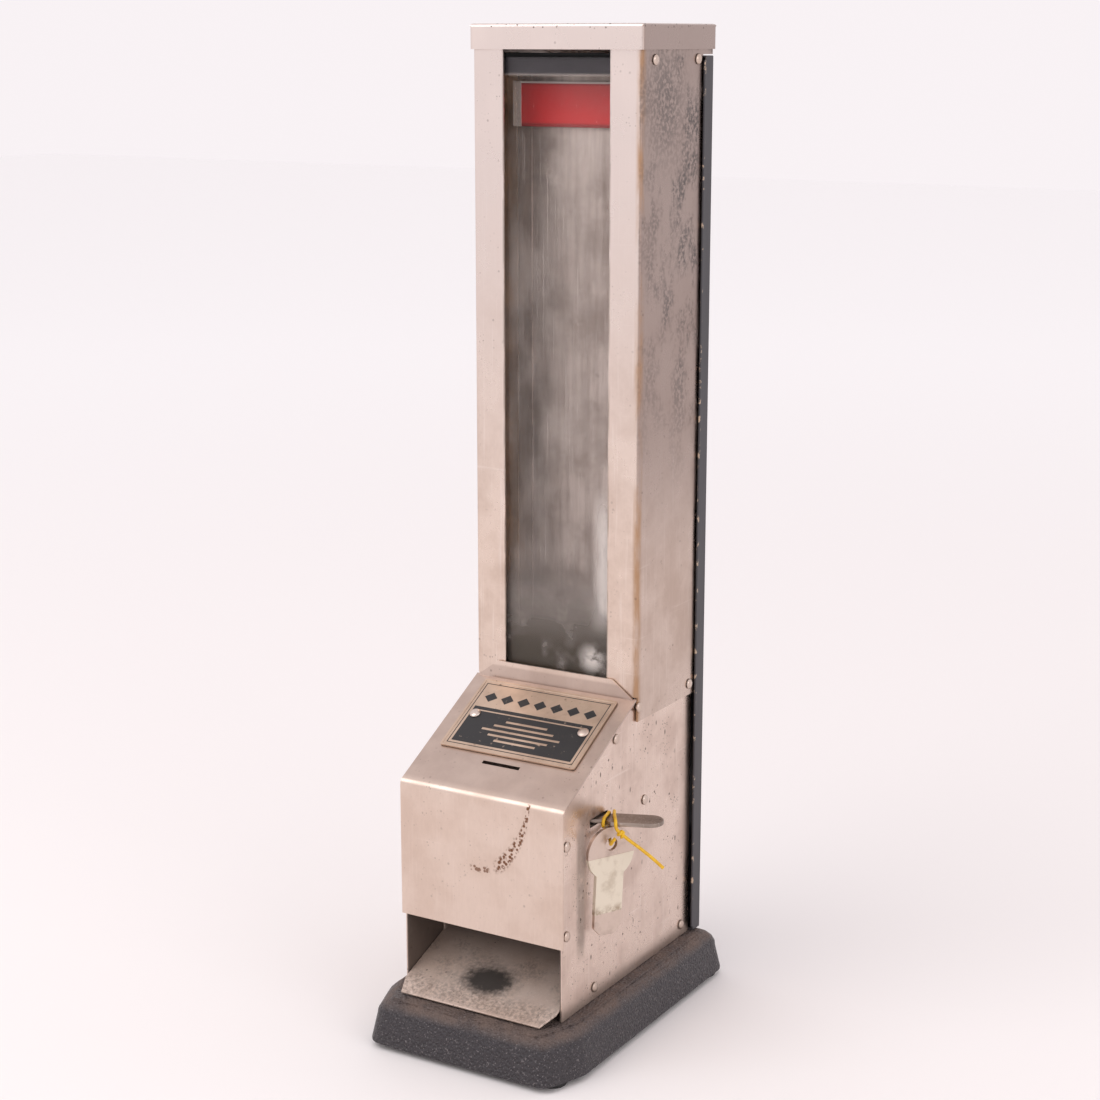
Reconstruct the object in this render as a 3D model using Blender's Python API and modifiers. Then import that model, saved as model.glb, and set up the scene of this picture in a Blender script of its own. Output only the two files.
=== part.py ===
"""Counter-top coin dispenser for wrapped gum sticks.

A windowed tower of nickelled sheet holds a stack of sticks. A coin goes through the slot in the
sloping hood into a pocket of the gum slide. Pulling the side lever forward runs the slide back,
which pushes the bottom stick off its shelf and on to the chute floor.

Body frame: X = 0 is the middle plane, Y = 0 the rear edge of the walls with the front towards -Y,
and Z = 0 the top of the base casting. The parent empty moves it to the middle of the footprint.
"""

import math

import bmesh
import bpy
from mathutils import Matrix, Vector

# Driving dimensions, in metres

# Sheet metal body
BODY_WIDTH = 0.0889
SHEET = 0.001
FIT = 0.0003
TOWER_DEPTH = 0.059
BOX_DEPTH = 0.127
MOUTH_HEIGHT = 0.0365
KNEE_HEIGHT = 0.103
SLOPE_ANGLE = math.radians(27.7)
SEAM_HEIGHT = 0.127
SILL_HEIGHT = 0.1467
LIP_WIDTH = 0.0636
LIP_MITRE = 0.0124
HOOD_FLANGE = 0.010
WINDOW_WIDTH = 0.0564
GLASS_THICKNESS = 0.0022
GLASS_LAP = 0.0024
SIDE_PLATE_LAP = 0.017

# Cap
CAP_HEIGHT = 0.0115
CAP_BOTTOM = 0.4375
CAP_ROUND = 0.0016
CAP_TONGUE = 0.0095
CAP_TONGUE_REAR = 0.002
COLLAR_DEPTH = 0.0097

# Base casting and feet
BASE_WIDTH = 0.1136
BASE_FRONT = 0.1495
BASE_REAR = 0.0165
BASE_HEIGHT = 0.0217
BASE_TAPER_WIDTH = 0.008
BASE_TAPER_LENGTH = 0.022
BASE_CORNER = 0.008
BASE_TOP_CORNER = 0.005
BASE_DRAFT = 0.002
BASE_ROUND = 0.008
BASE_WALL = 0.006
BASE_TOP_PLATE = 0.006
LEDGE_MARGIN = 0.004
LEDGE_FRONT_MARGIN = 0.0045
LEDGE_TAPER_WIDTH = 0.008
LEDGE_TAPER_LENGTH = 0.022
LEDGE_CORNER = 0.004
LEDGE_HEIGHT = 0.001
RIB_HEIGHT = 0.012
RIB_THICKNESS = 0.004
RIB_FRONT_MARGIN = 0.023
RIB_REAR = 0.003
FOOT_RADIUS = 0.007
FOOT_HEIGHT = 0.0028
FOOT_INSET = 0.009
BOSS_HEIGHT = 0.008

# Rivets
RIVET_HEAD_RADIUS = 0.0025
RIVET_HEAD_HEIGHT = 0.0012
RIVET_SHANK_RADIUS = 0.0013
HOOD_RIVET_INSET = 0.0053
LIP_RIVET_DROP = 0.0043
SLOPE_RIVET_SETBACK = 0.0506
SHELF_RIVET_Y = -0.0478
PANEL_RIVET_DROP = 0.0181
MOUTH_RIVET_RISE = 0.0048
RIB_RIVET_FRONT_INSET = 0.0084
RIB_RIVET_REAR_INSET = 0.005
RIB_RIVET_HEIGHT = 0.00636
SEAM_RIVET_INSET = 0.0054
SEAM_RIVET_RISE = 0.0056
CAP_RIVET_FRONT = 0.0469
CAP_RIVET_REAR = 0.0053
CAP_RIVET_DROP = 0.0044
PLATE_RIVET_SPACING = 0.060

# Slope fittings
COIN_SLOT_LENGTH = 0.0202
COIN_SLOT_WIDTH = 0.002
COIN_SLOT_RISE = 0.0207
PLATE_WIDTH = 0.074
PLATE_RISE = 0.0257
PLATE_TOP_MARGIN = 0.0041
PLATE_THICKNESS = 0.0008
CHUTE_TUBE_WIDTH = 0.0245
CHUTE_TUBE_DEPTH = 0.0064
COIN_DROP = 0.0138

# Gum chute
CHUTE_ANGLE = math.radians(20.5)
CHUTE_REACH = 0.011
CHUTE_LIP_HEIGHT = 0.0017
CHUTE_TAPER = 0.004
CHUTE_REAR_GAP = 0.0035
CHUTE_FLANGE = 0.006
CHUTE_FLANGE_FRONT_MARGIN = 0.031
CHUTE_FLANGE_REAR = 0.014

# Stack guides, back plate and card
STICK_WIDTH = 0.019
GUIDE_FLANGE = 0.006
MAGAZINE_TOP = 0.4265
STICK_GATE = 0.0036
BEAD_SPACING = 0.058
BEAD_WIDTH = 0.0016
CARD_WIDTH = 0.075
CARD_HEIGHT = 0.0209
CARD_THICKNESS = 0.0007
CARD_BOTTOM = 0.402

# Mechanism plate and slide
SHELF_HEIGHT = 0.081
SHELF_THICKNESS = 0.0015
SHELF_FRONT_MARGIN = 0.014
SHELF_REAR = 0.031
EAR_LENGTH = 0.013
EAR_HEIGHT = 0.009
SLIDE_THICKNESS = 0.0016
SLIDE_WIDTH = 0.032
SLIDE_FRONT_MARGIN = 0.0045
PUSHER_WIDTH = 0.060
PUSHER_DEPTH = 0.0095
RAIL_WIDTH = 0.002
RAIL_HEIGHT = 0.003
COIN_POCKET_RADIUS = 0.010
COIN_POCKET_X = -0.002
COIN_POCKET_SETBACK = 0.0345

# Lever
LEVER_PIVOT_X = 0.0375
LEVER_SETBACK = 0.0325
LEVER_LIFT = 0.0071
LEVER_THICKNESS = 0.002
LEVER_LEAN = math.radians(23.0)
LEVER_SWING = math.radians(40.0)
LEVER_REACH = 0.0365
LEVER_WIDTH = 0.0127
LEVER_NECK = 0.0068
LEVER_BOSS_RADIUS = 0.0042
LEVER_ARM = 0.0273
LEVER_ARM_WIDTH = 0.007
DRIVE_PIN_RADIUS = 0.0015
LEVER_SLOT_LENGTH = 0.0166
LEVER_SLOT_HEIGHT = 0.004
POST_RADIUS = 0.002
SHOULDER_RADIUS = 0.003
NUT_RADIUS = 0.0042
NUT_HEIGHT = 0.003
SPRING_WIRE_RADIUS = 0.0004
SPRING_TURNS = 3.5

# Cash box
CASH_BOX_WIDTH = 0.068
CASH_BOX_FRONT_MARGIN = 0.015
CASH_BOX_DEPTH = 0.054
CASH_BOX_BOTTOM = 0.058
CASH_BOX_HEADROOM = 0.002
RUNNER_SHELF = 0.009
RUNNER_WEB = 0.009
RUNNER_REAR = 0.008

# Back door, hinge and lock
DOOR_OVERLAP = 0.0009
DOOR_DEPTH = 0.0087
DOOR_BOTTOM = 0.0006
DOOR_TOP = 0.4346
DOOR_MARGIN = 0.0015
HINGE_PIN_RADIUS = 0.0011
KNUCKLE_RADIUS = 0.0022
HINGE_AXIS_Y = -0.0032
HINGE_RISE = 0.013
HINGE_TOP = 0.420
HINGE_LEAF_WIDTH = 0.015
KNUCKLE_LENGTH = 0.080
LOCK_X = 0.028
LOCK_HEIGHT = 0.235
LOCK_RADIUS = 0.008
LOCK_FLANGE_RADIUS = 0.0105
LOCK_FLANGE_HEIGHT = 0.0015
LOCK_BODY_LENGTH = 0.0105
PLUG_RADIUS = 0.0048
CAM_LENGTH = 0.0135
CAM_WIDTH = 0.009
CAM_THICKNESS = 0.0016
KEYWAY_DEPTH = 0.004
CATCH_LENGTH = 0.006

# Key and its tie
KEY_BOW_RADIUS = 0.0128
KEY_SHANK_WIDTH = 0.015
KEY_LENGTH = 0.0528
KEY_THICKNESS = 0.002
KEY_HOLE_RADIUS = 0.0033
KEY_HOLE_MARGIN = 0.0084
KEY_TURN = math.radians(64.0)
KEY_TILT = math.radians(-3.0)
TIE_STATION = 0.0139
TIE_RADIUS = 0.0008
KNOT_SWELL = 2.0
KEY_HANG = Vector((-0.00175, -0.0045, -0.0090))

# Route of the tie: along the lever, across it, and height from the lever's underside
TIE_ROUTE = (
    (0.0231, -0.0064, -0.0191),
    (0.0176, -0.0069, -0.014),
    (0.012, -0.0074, -0.0094),
    (0.0076, -0.0079, -0.006),
    (0.0052, -0.0083, -0.0039),
    (0.0037, -0.0085, -0.0027),
    (0.0026, -0.0084, -0.0019),
    (0.0014, -0.0078, -0.0006),
    (0.001, -0.0075, 0.001),
    (0.0008, -0.0066, 0.0029),
    (0.0001, -0.003, 0.0032),
    (-0.0005, 0.0005, 0.0032),
    (-0.001, 0.004, 0.0032),
    (-0.0012, 0.0066, 0.0029),
    (-0.00125, 0.0075, 0.001),
    (-0.0013, 0.0072, -0.001),
    (-0.0018, 0.005, -0.0015),
    (-0.003, 0.0015, -0.0015),
    (-0.0043, -0.0015, -0.0014),
    (-0.0052, -0.0042, -0.001),
    (-0.0052, -0.0047, 0.0006),
    (-0.0049, -0.0042, 0.0027),
    (-0.0044, -0.002, 0.0032),
    (-0.0038, 0.0015, 0.0032),
    (-0.0035, 0.0044, 0.003),
    (-0.0035, 0.0061, 0.0014),
    (-0.0037, 0.0062, -0.001),
    (-0.0037, 0.0048, -0.0038),
    (-0.003, 0.002, -0.0064),
    (-0.0023, -0.0015, -0.0084),
    (-0.00175, -0.0045, -0.009),
    (-0.0012, -0.0072, -0.0084),
    (-0.0002, -0.009, -0.0064),
    (0.001, -0.0092, -0.0048),
)
KNOT_POINT = 5
TIE_STEPS = 3

# How far a cutter stands past what it cuts, and the distance at which points merge
SPARE = 0.005
MERGE = 1e-6

# Places worked out from the driving dimensions

HALF = BODY_WIDTH / 2
TOWER_IN = HALF - SHEET
SIDE_OUT = TOWER_IN - FIT
SIDE_IN = SIDE_OUT - SHEET
LINER_OUT = SIDE_IN - FIT
LINER_IN = LINER_OUT - SHEET

BOX_FRONT = -BOX_DEPTH
SIDE_FRONT = BOX_FRONT + SHEET + FIT
TOWER_FRONT = -TOWER_DEPTH
LIP_BACK = TOWER_FRONT - FIT
LIP_FRONT = LIP_BACK - SHEET
GLASS_FRONT = TOWER_FRONT + SHEET + FIT
GLASS_BACK = GLASS_FRONT + GLASS_THICKNESS

GLASS_BOTTOM = SILL_HEIGHT - GLASS_LAP

SLOPE_RISE = math.tan(SLOPE_ANGLE)
SLOPE_TOP = KNEE_HEIGHT + (LIP_BACK - BOX_FRONT) * SLOPE_RISE
SLOPE_LENGTH = (LIP_BACK - BOX_FRONT) / math.cos(SLOPE_ANGLE)
PLATE_LENGTH = SLOPE_LENGTH - PLATE_RISE - PLATE_TOP_MARGIN
TOWER_FRONT_BOTTOM = SLOPE_TOP + 2 * FIT
SIDE_TOP = SEAM_HEIGHT + SIDE_PLATE_LAP
CAP_TOP = CAP_BOTTOM + CAP_HEIGHT
TOWER_TOP = CAP_TOP - SHEET - FIT
RIB_FRONT = BOX_DEPTH - RIB_FRONT_MARGIN

HOOD_LINE = ((BOX_FRONT, MOUTH_HEIGHT), (BOX_FRONT, KNEE_HEIGHT), (LIP_BACK, SLOPE_TOP))
FLANGE_END = LIP_BACK + HOOD_FLANGE * math.sin(SLOPE_ANGLE)
GUIDE_FRONT = FLANGE_END + FIT
GUIDE_REAR = GUIDE_FRONT + STICK_WIDTH + 2 * SHEET + FIT
GUIDE_BOTTOM = SHELF_HEIGHT + EAR_HEIGHT + FIT
GLASS_TOP = CAP_BOTTOM - 5 * FIT

SHELF_FRONT = BOX_DEPTH - SHELF_FRONT_MARGIN
SLIDE_BOTTOM = SHELF_HEIGHT + FIT
COIN_POCKET_Y = BOX_FRONT + COIN_POCKET_SETBACK
COIN_SLOT_HEIGHT = KNEE_HEIGHT + COIN_SLOT_RISE * math.sin(SLOPE_ANGLE)
CHUTE_TUBE_LENGTH = (COIN_SLOT_HEIGHT - SHELF_HEIGHT - COIN_DROP) / math.cos(SLOPE_ANGLE) - SHEET - FIT
LEVER_PIVOT_Y = BOX_FRONT + LEVER_SETBACK
LEVER_BOTTOM = SHELF_HEIGHT + LEVER_LIFT
PUSHER_EDGE = GUIDE_FRONT
DRIVE_PIN_REST = Vector(
    (
        LEVER_PIVOT_X - LEVER_ARM * math.cos(LEVER_LEAN),
        LEVER_PIVOT_Y - LEVER_ARM * math.sin(LEVER_LEAN),
    )
)
SLIDE_STROKE = LEVER_ARM * (math.sin(LEVER_LEAN) + math.sin(LEVER_SWING - LEVER_LEAN))
LEVER_TOP = LEVER_BOTTOM + LEVER_THICKNESS

DOOR_HALF = HALF + DOOR_MARGIN
DOOR_FRONT = -DOOR_OVERLAP
DOOR_BACK = DOOR_FRONT + DOOR_DEPTH
HINGE_AXIS_X = -DOOR_HALF - FIT - SHEET / 2 - KNUCKLE_RADIUS / 3
LEDGE_HALF = HALF + LEDGE_MARGIN
LEDGE_FRONT = BOX_FRONT - CHUTE_REACH - LEDGE_FRONT_MARGIN
LEDGE_REAR = DOOR_BACK - LEDGE_MARGIN / 2

HINGE_BOTTOM = SEAM_HEIGHT + HINGE_RISE
CASH_BOX_FRONT = BOX_DEPTH - CASH_BOX_FRONT_MARGIN
CASH_BOX_REAR = -CASH_BOX_FRONT + CASH_BOX_DEPTH
CASH_BOX_HEIGHT = SHELF_HEIGHT - SHELF_THICKNESS - CASH_BOX_HEADROOM - CASH_BOX_BOTTOM

# Rivets in the side walls: place in Y and Z, outer face and the inner face that the shank ends at
SIDE_RIVETS = (
    (FLANGE_END - RIVET_HEAD_RADIUS + FIT, SLOPE_TOP - LIP_RIVET_DROP, HALF, LINER_IN),
    (
        BOX_FRONT + SLOPE_RIVET_SETBACK,
        KNEE_HEIGHT + SLOPE_RIVET_SETBACK * SLOPE_RISE - HOOD_RIVET_INSET / math.cos(SLOPE_ANGLE),
        SIDE_OUT,
        LINER_IN,
    ),
    (SHELF_RIVET_Y, SHELF_HEIGHT + EAR_HEIGHT * 0.45, SIDE_OUT, LINER_IN),
    (BOX_FRONT + HOOD_RIVET_INSET, KNEE_HEIGHT - PANEL_RIVET_DROP, SIDE_OUT, LINER_IN),
    (BOX_FRONT + HOOD_RIVET_INSET, MOUTH_HEIGHT + MOUTH_RIVET_RISE, SIDE_OUT, LINER_IN),
    (-RIB_REAR - RIB_RIVET_REAR_INSET, RIB_RIVET_HEIGHT, SIDE_OUT, LINER_OUT - RIB_THICKNESS),
    (-RIB_FRONT + RIB_RIVET_FRONT_INSET, RIB_RIVET_HEIGHT, SIDE_OUT, LINER_OUT - RIB_THICKNESS),
    (-SEAM_RIVET_INSET, SEAM_HEIGHT + SEAM_RIVET_RISE, HALF, SIDE_IN),
    (-CAP_RIVET_FRONT, CAP_BOTTOM - CAP_RIVET_DROP, HALF, SIDE_IN),
    (-CAP_RIVET_REAR, CAP_BOTTOM - CAP_RIVET_DROP, HALF, SIDE_IN),
)

# Footprint and origin
FOOT_BOTTOM = -BASE_HEIGHT - FIT - FOOT_HEIGHT
LEVER_TIP_X = LEVER_PIVOT_X + (LEVER_REACH - LEVER_WIDTH / 2) * math.cos(LEVER_LEAN) + LEVER_WIDTH / 2
CAP_REAR = COLLAR_DEPTH + FIT + SHEET
REAR_END = max(CAP_REAR, BASE_REAR)
ORIGIN = Vector(((LEVER_TIP_X - BASE_WIDTH / 2) / 2, (REAR_END - BASE_FRONT) / 2, FOOT_BOTTOM))

# Planes for flat outlines: the outline's own x and y, and the way its thickness runs
FLAT = Matrix.Identity(4)
SIDEWAYS = Matrix(((0, 0, 1, 0), (1, 0, 0, 0), (0, 1, 0, 0), (0, 0, 0, 1)))
FACING = Matrix.Rotation(math.pi / 2, 4, "X")
SLOPE_FRAME = Matrix.Translation((0, BOX_FRONT, KNEE_HEIGHT)) @ Matrix.Rotation(SLOPE_ANGLE, 4, "X")
LEVER_FRAME = Matrix.Translation((LEVER_PIVOT_X, LEVER_PIVOT_Y, LEVER_BOTTOM)) @ Matrix.Rotation(
    LEVER_LEAN, 4, "Z"
)

# Finishes: base colour, metallic and roughness
FINISHES = {
    "nickel": ((0.62, 0.54, 0.50), 0.9, 0.38),
    "etched_nickel": ((0.50, 0.44, 0.41), 0.9, 0.45),
    "black_crackle": ((0.035, 0.030, 0.032), 0.0, 0.55),
    "black_enamel": ((0.030, 0.028, 0.034), 0.0, 0.35),
    "galvanised": ((0.36, 0.33, 0.31), 0.9, 0.50),
    "steel": ((0.45, 0.43, 0.42), 1.0, 0.35),
    "brass": ((0.55, 0.40, 0.18), 1.0, 0.35),
    "glass": ((0.85, 0.86, 0.84), 0.0, 0.05),
    "red_card": ((0.62, 0.05, 0.05), 0.0, 0.50),
    "rubber": ((0.02, 0.02, 0.02), 0.0, 0.80),
    "yellow_tie": ((0.85, 0.55, 0.04), 0.0, 0.45),
}

MATERIALS = {}
PARTS = None
FRAME = None


def clear_scene():
    """Remove every object of the open scene."""
    for old in list(bpy.data.objects):
        bpy.data.objects.remove(old, do_unlink=True)


def make_materials():
    """Make one Principled material for each finish."""
    for name, (colour, metallic, roughness) in FINISHES.items():
        material = bpy.data.materials.new(name)
        material.use_nodes = True
        shader = material.node_tree.nodes["Principled BSDF"]
        shader.inputs["Base Color"].default_value = (*colour, 1.0)
        shader.inputs["Metallic"].default_value = metallic
        shader.inputs["Roughness"].default_value = roughness
        MATERIALS[name] = material


def add_mesh(name, bm):
    """Put a bmesh into a new object of the scene's main collection."""
    mesh = bpy.data.meshes.new(name)
    bm.to_mesh(mesh)
    bm.free()
    thing = bpy.data.objects.new(name, mesh)
    bpy.context.scene.collection.objects.link(thing)
    return thing


def bake(thing):
    """Apply an object's modifiers to its mesh."""
    bpy.context.view_layer.update()
    graph = bpy.context.evaluated_depsgraph_get()
    mesh = bpy.data.meshes.new_from_object(thing.evaluated_get(graph))
    thing.modifiers.clear()
    thing.data = mesh
    return thing


def boolean(thing, tool, operation):
    """Cut a tool from an object, or join it on, and remove the tool."""
    step = thing.modifiers.new(operation, "BOOLEAN")
    step.operation = operation
    step.solver = "EXACT"
    step.object = tool
    bake(thing)
    bpy.data.objects.remove(tool, do_unlink=True)
    return thing


def cut(thing, *tools):
    """Take each tool away from an object."""
    for tool in tools:
        boolean(thing, tool, "DIFFERENCE")
    return thing


def join(thing, *others):
    """Unite an object with others into one body."""
    for other in others:
        boolean(thing, other, "UNION")
    return thing


def box(name, low, high, place=FLAT):
    """A box between two corners."""
    low = Vector(low)
    high = Vector(high)
    bm = bmesh.new()
    matrix = place @ Matrix.Translation((low + high) / 2) @ Matrix.Diagonal((*(high - low), 1.0))
    bmesh.ops.create_cube(bm, size=1.0, matrix=matrix)
    return add_mesh(name, bm)


def arc(centre, radius, start, end, steps):
    """Points of an arc, angles in degrees."""
    points = []
    for i in range(steps + 1):
        angle = math.radians(start + (end - start) * i / steps)
        points.append((centre[0] + radius * math.cos(angle), centre[1] + radius * math.sin(angle)))
    return points


def circle(centre, radius, steps=12):
    """Points of a full circle."""
    return arc(centre, radius, 0.0, 360.0 - 360.0 / steps, steps - 1)


def rectangle(low, high):
    """Corners of a rectangle."""
    return [(low[0], low[1]), (high[0], low[1]), (high[0], high[1]), (low[0], high[1])]


def plate(name, outline, thickness, place=FLAT, holes=()):
    """A flat plate, centred on the plane of its outline, with any holes."""
    curve = bpy.data.curves.new(name, "CURVE")
    curve.dimensions = "2D"
    curve.fill_mode = "BOTH"
    curve.extrude = thickness / 2
    for loop in (outline, *holes):
        loop = [point for i, point in enumerate(loop) if math.dist(point, loop[i - 1]) > MERGE]
        spline = curve.splines.new("POLY")
        spline.points.add(len(loop) - 1)
        for point, (x, y) in zip(spline.points, loop):
            point.co = (x, y, 0.0, 1.0)
        spline.use_cyclic_u = True
    return solid_from_curve(name, curve, place)


def solid_from_curve(name, curve, place=FLAT):
    """Turn a curve into a welded mesh object at its place."""
    guide = bpy.data.objects.new(name, curve)
    bpy.context.scene.collection.objects.link(guide)
    bpy.context.view_layer.update()
    graph = bpy.context.evaluated_depsgraph_get()
    mesh = bpy.data.meshes.new_from_object(guide.evaluated_get(graph))
    bpy.data.objects.remove(guide, do_unlink=True)
    bm = bmesh.new()
    bm.from_mesh(mesh)
    bpy.data.meshes.remove(mesh)
    bmesh.ops.remove_doubles(bm, verts=bm.verts, dist=MERGE)
    bmesh.ops.recalc_face_normals(bm, faces=bm.faces)
    bm.normal_update()
    bmesh.ops.dissolve_limit(bm, angle_limit=math.radians(0.1), verts=bm.verts, edges=bm.edges)
    bmesh.ops.transform(bm, matrix=place, verts=bm.verts)
    bmesh.ops.recalc_face_normals(bm, faces=bm.faces)
    return add_mesh(name, bm)


def offset_line(line, distance):
    """Shift an open line sideways, to the right of its run, with mitred bends."""
    points = [Vector(point) for point in line]
    normals = []
    for first, second in zip(points, points[1:]):
        run = (second - first).normalized()
        normals.append(Vector((run.y, -run.x)))
    shifted = []
    for i, point in enumerate(points):
        before = normals[max(i - 1, 0)]
        after = normals[min(i, len(normals) - 1)]
        middle = (before + after).normalized()
        shifted.append(point + middle * (distance / middle.dot(after)))
    return [(point.x, point.y) for point in shifted]


def folded(line, thickness):
    """Outline of a folded sheet whose outer face follows a line."""
    return list(line) + offset_line(line, thickness)[::-1]


def turned(name, profile, steps, place=FLAT):
    """A turned shape from a profile of radius and height that runs from its top to its bottom."""
    bm = bmesh.new()
    corners = [bm.verts.new((radius, 0.0, height)) for radius, height in profile]
    for first, second in zip(corners, corners[1:]):
        bm.edges.new((first, second))
    thing = add_mesh(name, bm)
    screw = thing.modifiers.new("turn", "SCREW")
    screw.axis = "Z"
    screw.steps = steps
    screw.render_steps = steps
    screw.use_merge_vertices = True
    screw.merge_threshold = MERGE
    screw.use_normal_calculate = False
    bake(thing)
    bm = bmesh.new()
    bm.from_mesh(thing.data)
    bmesh.ops.remove_doubles(bm, verts=bm.verts, dist=MERGE)
    bmesh.ops.recalc_face_normals(bm, faces=bm.faces)
    bm.to_mesh(thing.data)
    bm.free()
    thing.data.transform(place)
    return thing


def rod(name, radius, start, end, steps=16):
    """A plain round bar between two points."""
    start = Vector(start)
    run = Vector(end) - start
    turn = Vector((0, 0, 1)).rotation_difference(run).to_matrix().to_4x4()
    place = Matrix.Translation(start) @ turn
    return turned(name, [(0.0, run.length), (radius, run.length), (radius, 0.0), (0.0, 0.0)], steps, place)


def finish(thing, material, pivot=None):
    """Give a part its material, its origin and its place under the frame."""
    thing.data.materials.clear()
    thing.data.materials.append(MATERIALS[material])
    thing.data.shade_smooth()
    thing.data.set_sharp_from_angle(angle=math.radians(35))
    if pivot is not None:
        pivot = Vector(pivot)
        thing.data.transform(Matrix.Translation(-pivot))
        thing.location = pivot
    thing.parent = FRAME
    bpy.context.scene.collection.objects.unlink(thing)
    PARTS.objects.link(thing)
    return thing


def rivet_holes(rivets):
    """Cutters right across the body, one for each rivet."""
    radius = RIVET_SHANK_RADIUS + FIT
    reach = HALF + RIVET_HEAD_RADIUS
    return [rod("hole", radius, (-reach, y, z), (reach, y, z), 12) for y, z, _, _ in rivets]


def rivet(name, place, grip):
    """A dome-headed rivet: its place is on the outer face, with Z outwards."""
    rise = [(RIVET_HEAD_RADIUS * math.sin(a), RIVET_HEAD_HEIGHT * math.cos(a)) for a in HEAD_ANGLES]
    top = [(radius, FIT + height) for radius, height in rise]
    shank = [(RIVET_SHANK_RADIUS, FIT), (RIVET_SHANK_RADIUS, FIT - grip), (0.0, FIT - grip)]
    return turned(name, top + shank, 12, place)


HEAD_ANGLES = [math.radians(angle) for angle in (0, 32, 62, 90)]


def filleted(corners, radius, steps):
    """A closed outline whose convex corners, given anticlockwise, are rounded."""
    outline = []
    count = len(corners)
    for i in range(count):
        corner = Vector(corners[i])
        inward = (corner - Vector(corners[i - 1])).normalized()
        outward = (Vector(corners[(i + 1) % count]) - corner).normalized()
        turn = math.degrees(inward.angle(outward))
        start = corner - inward * radius * math.tan(math.radians(turn) / 2)
        centre = start + Vector((-inward.y, inward.x)) * radius
        heading = math.degrees(math.atan2(inward.y, inward.x)) - 90.0
        outline += arc(centre, radius, heading, heading + turn, max(2, round(steps * turn / 90.0)))
    return outline


def base_outline(half, front, rear, taper_width, taper_length, corner):
    """Outline of the base, which narrows towards its front."""
    corners = [
        (half, rear),
        (-half, rear),
        (-half, -front + taper_length),
        (-half + taper_width, -front),
        (half - taper_width, -front),
        (half, -front + taper_length),
    ]
    return filleted(corners, corner, 6)


def raise_top(thing, first, rings):
    """Build up from a flat top: extrude it and fit its corners to the next outline and height."""
    bm = bmesh.new()
    bm.from_mesh(thing.data)
    height = max(corner.co.z for corner in bm.verts)
    top = [face for face in bm.faces if all(abs(v.co.z - height) < MERGE for v in face.verts)]
    old = first
    for outline, level in rings:
        top = bmesh.ops.extrude_discrete_faces(bm, faces=top)["faces"]
        for corner in {corner for face in top for corner in face.verts}:
            spot = corner.co.xy
            index = min(range(len(old)), key=lambda i: (Vector(old[i]) - spot).length_squared)
            corner.co = (*outline[index], level)
        old = outline
    bmesh.ops.recalc_face_normals(bm, faces=bm.faces)
    bm.to_mesh(thing.data)
    bm.free()


def round_top(thing, height, radius, steps):
    """Round the outer edge of a flat top."""
    bm = bmesh.new()
    bm.from_mesh(thing.data)
    edges = [edge for edge in bm.edges if all(abs(v.co.z - height) < MERGE for v in edge.verts)]
    rim = [edge for edge in edges if edge.calc_face_angle(0.0) > math.radians(60)]
    bmesh.ops.bevel(bm, geom=rim, offset=radius, segments=steps, profile=0.5, affect="EDGES")
    bm.to_mesh(thing.data)
    bm.free()


def foot_places():
    """Where the four feet stand."""
    front = -BASE_FRONT + 1.5 * FOOT_INSET
    front_side = BASE_WIDTH / 2 - BASE_TAPER_WIDTH - FOOT_INSET / 2
    rear_side = BASE_WIDTH / 2 - FOOT_INSET
    rear = BASE_REAR - FOOT_INSET
    return [(front_side, front), (-front_side, front), (rear_side, rear), (-rear_side, rear)]


def base_ring(inset, corner):
    """Outline of the base casting, drawn in by an inset."""
    return base_outline(
        BASE_WIDTH / 2 - inset,
        BASE_FRONT - inset,
        BASE_REAR - inset,
        BASE_TAPER_WIDTH,
        BASE_TAPER_LENGTH,
        corner,
    )


def base_rings():
    """Outlines of the base's side: the drafted wall, then the rounded shoulder."""
    rings = []
    for angle in (0, 18, 36, 54, 72, 90):
        turn = math.radians(angle)
        inset = BASE_DRAFT + BASE_ROUND * (1 - math.cos(turn))
        level = -LEDGE_HEIGHT - BASE_ROUND * (1 - math.sin(turn))
        corner = BASE_CORNER + (BASE_TOP_CORNER - BASE_CORNER) * angle / 90
        rings.append((base_ring(inset, corner), level))
    return rings


def build_base():
    """Base casting with its ledge, fixing ribs and foot bosses, and the feet."""
    outline = base_ring(0.0, BASE_CORNER)
    middle = Matrix.Translation((0, 0, -BASE_HEIGHT + SHEET / 2))
    base = plate("base_casting", outline, SHEET, middle)
    raise_top(base, outline, base_rings())
    ledge = base_outline(
        LEDGE_HALF, -LEDGE_FRONT, LEDGE_REAR, LEDGE_TAPER_WIDTH, LEDGE_TAPER_LENGTH, LEDGE_CORNER
    )
    ledge_depth = BASE_TOP_PLATE
    join(base, plate("ledge", ledge, ledge_depth, Matrix.Translation((0, 0, -ledge_depth / 2))))
    hollow = base_ring(BASE_WALL, BASE_TOP_CORNER)
    depth = BASE_HEIGHT - BASE_TOP_PLATE
    cut(base, plate("hollow", hollow, 2 * depth, Matrix.Translation((0, 0, -BASE_HEIGHT))))
    for x, y in foot_places():
        top = -BASE_HEIGHT + BOSS_HEIGHT
        join(base, rod("boss", FOOT_RADIUS - SHEET, (x, y, -BASE_HEIGHT), (x, y, top), 16))
    for side in (1, -1):
        low_x, high_x = sorted((side * (LINER_OUT - RIB_THICKNESS), side * LINER_OUT))
        join(base, box("rib", (low_x, -RIB_FRONT, -LEDGE_HEIGHT), (high_x, -RIB_REAR, RIB_HEIGHT)))
    cut(base, *rivet_holes(SIDE_RIVETS[5:7]))
    finish(base, "black_crackle")
    for number, (x, y) in enumerate(foot_places(), 1):
        top = -BASE_HEIGHT - FIT
        finish(rod(f"foot_{number}", FOOT_RADIUS, (x, y, FOOT_BOTTOM), (x, y, top), 16), "rubber")


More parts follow.
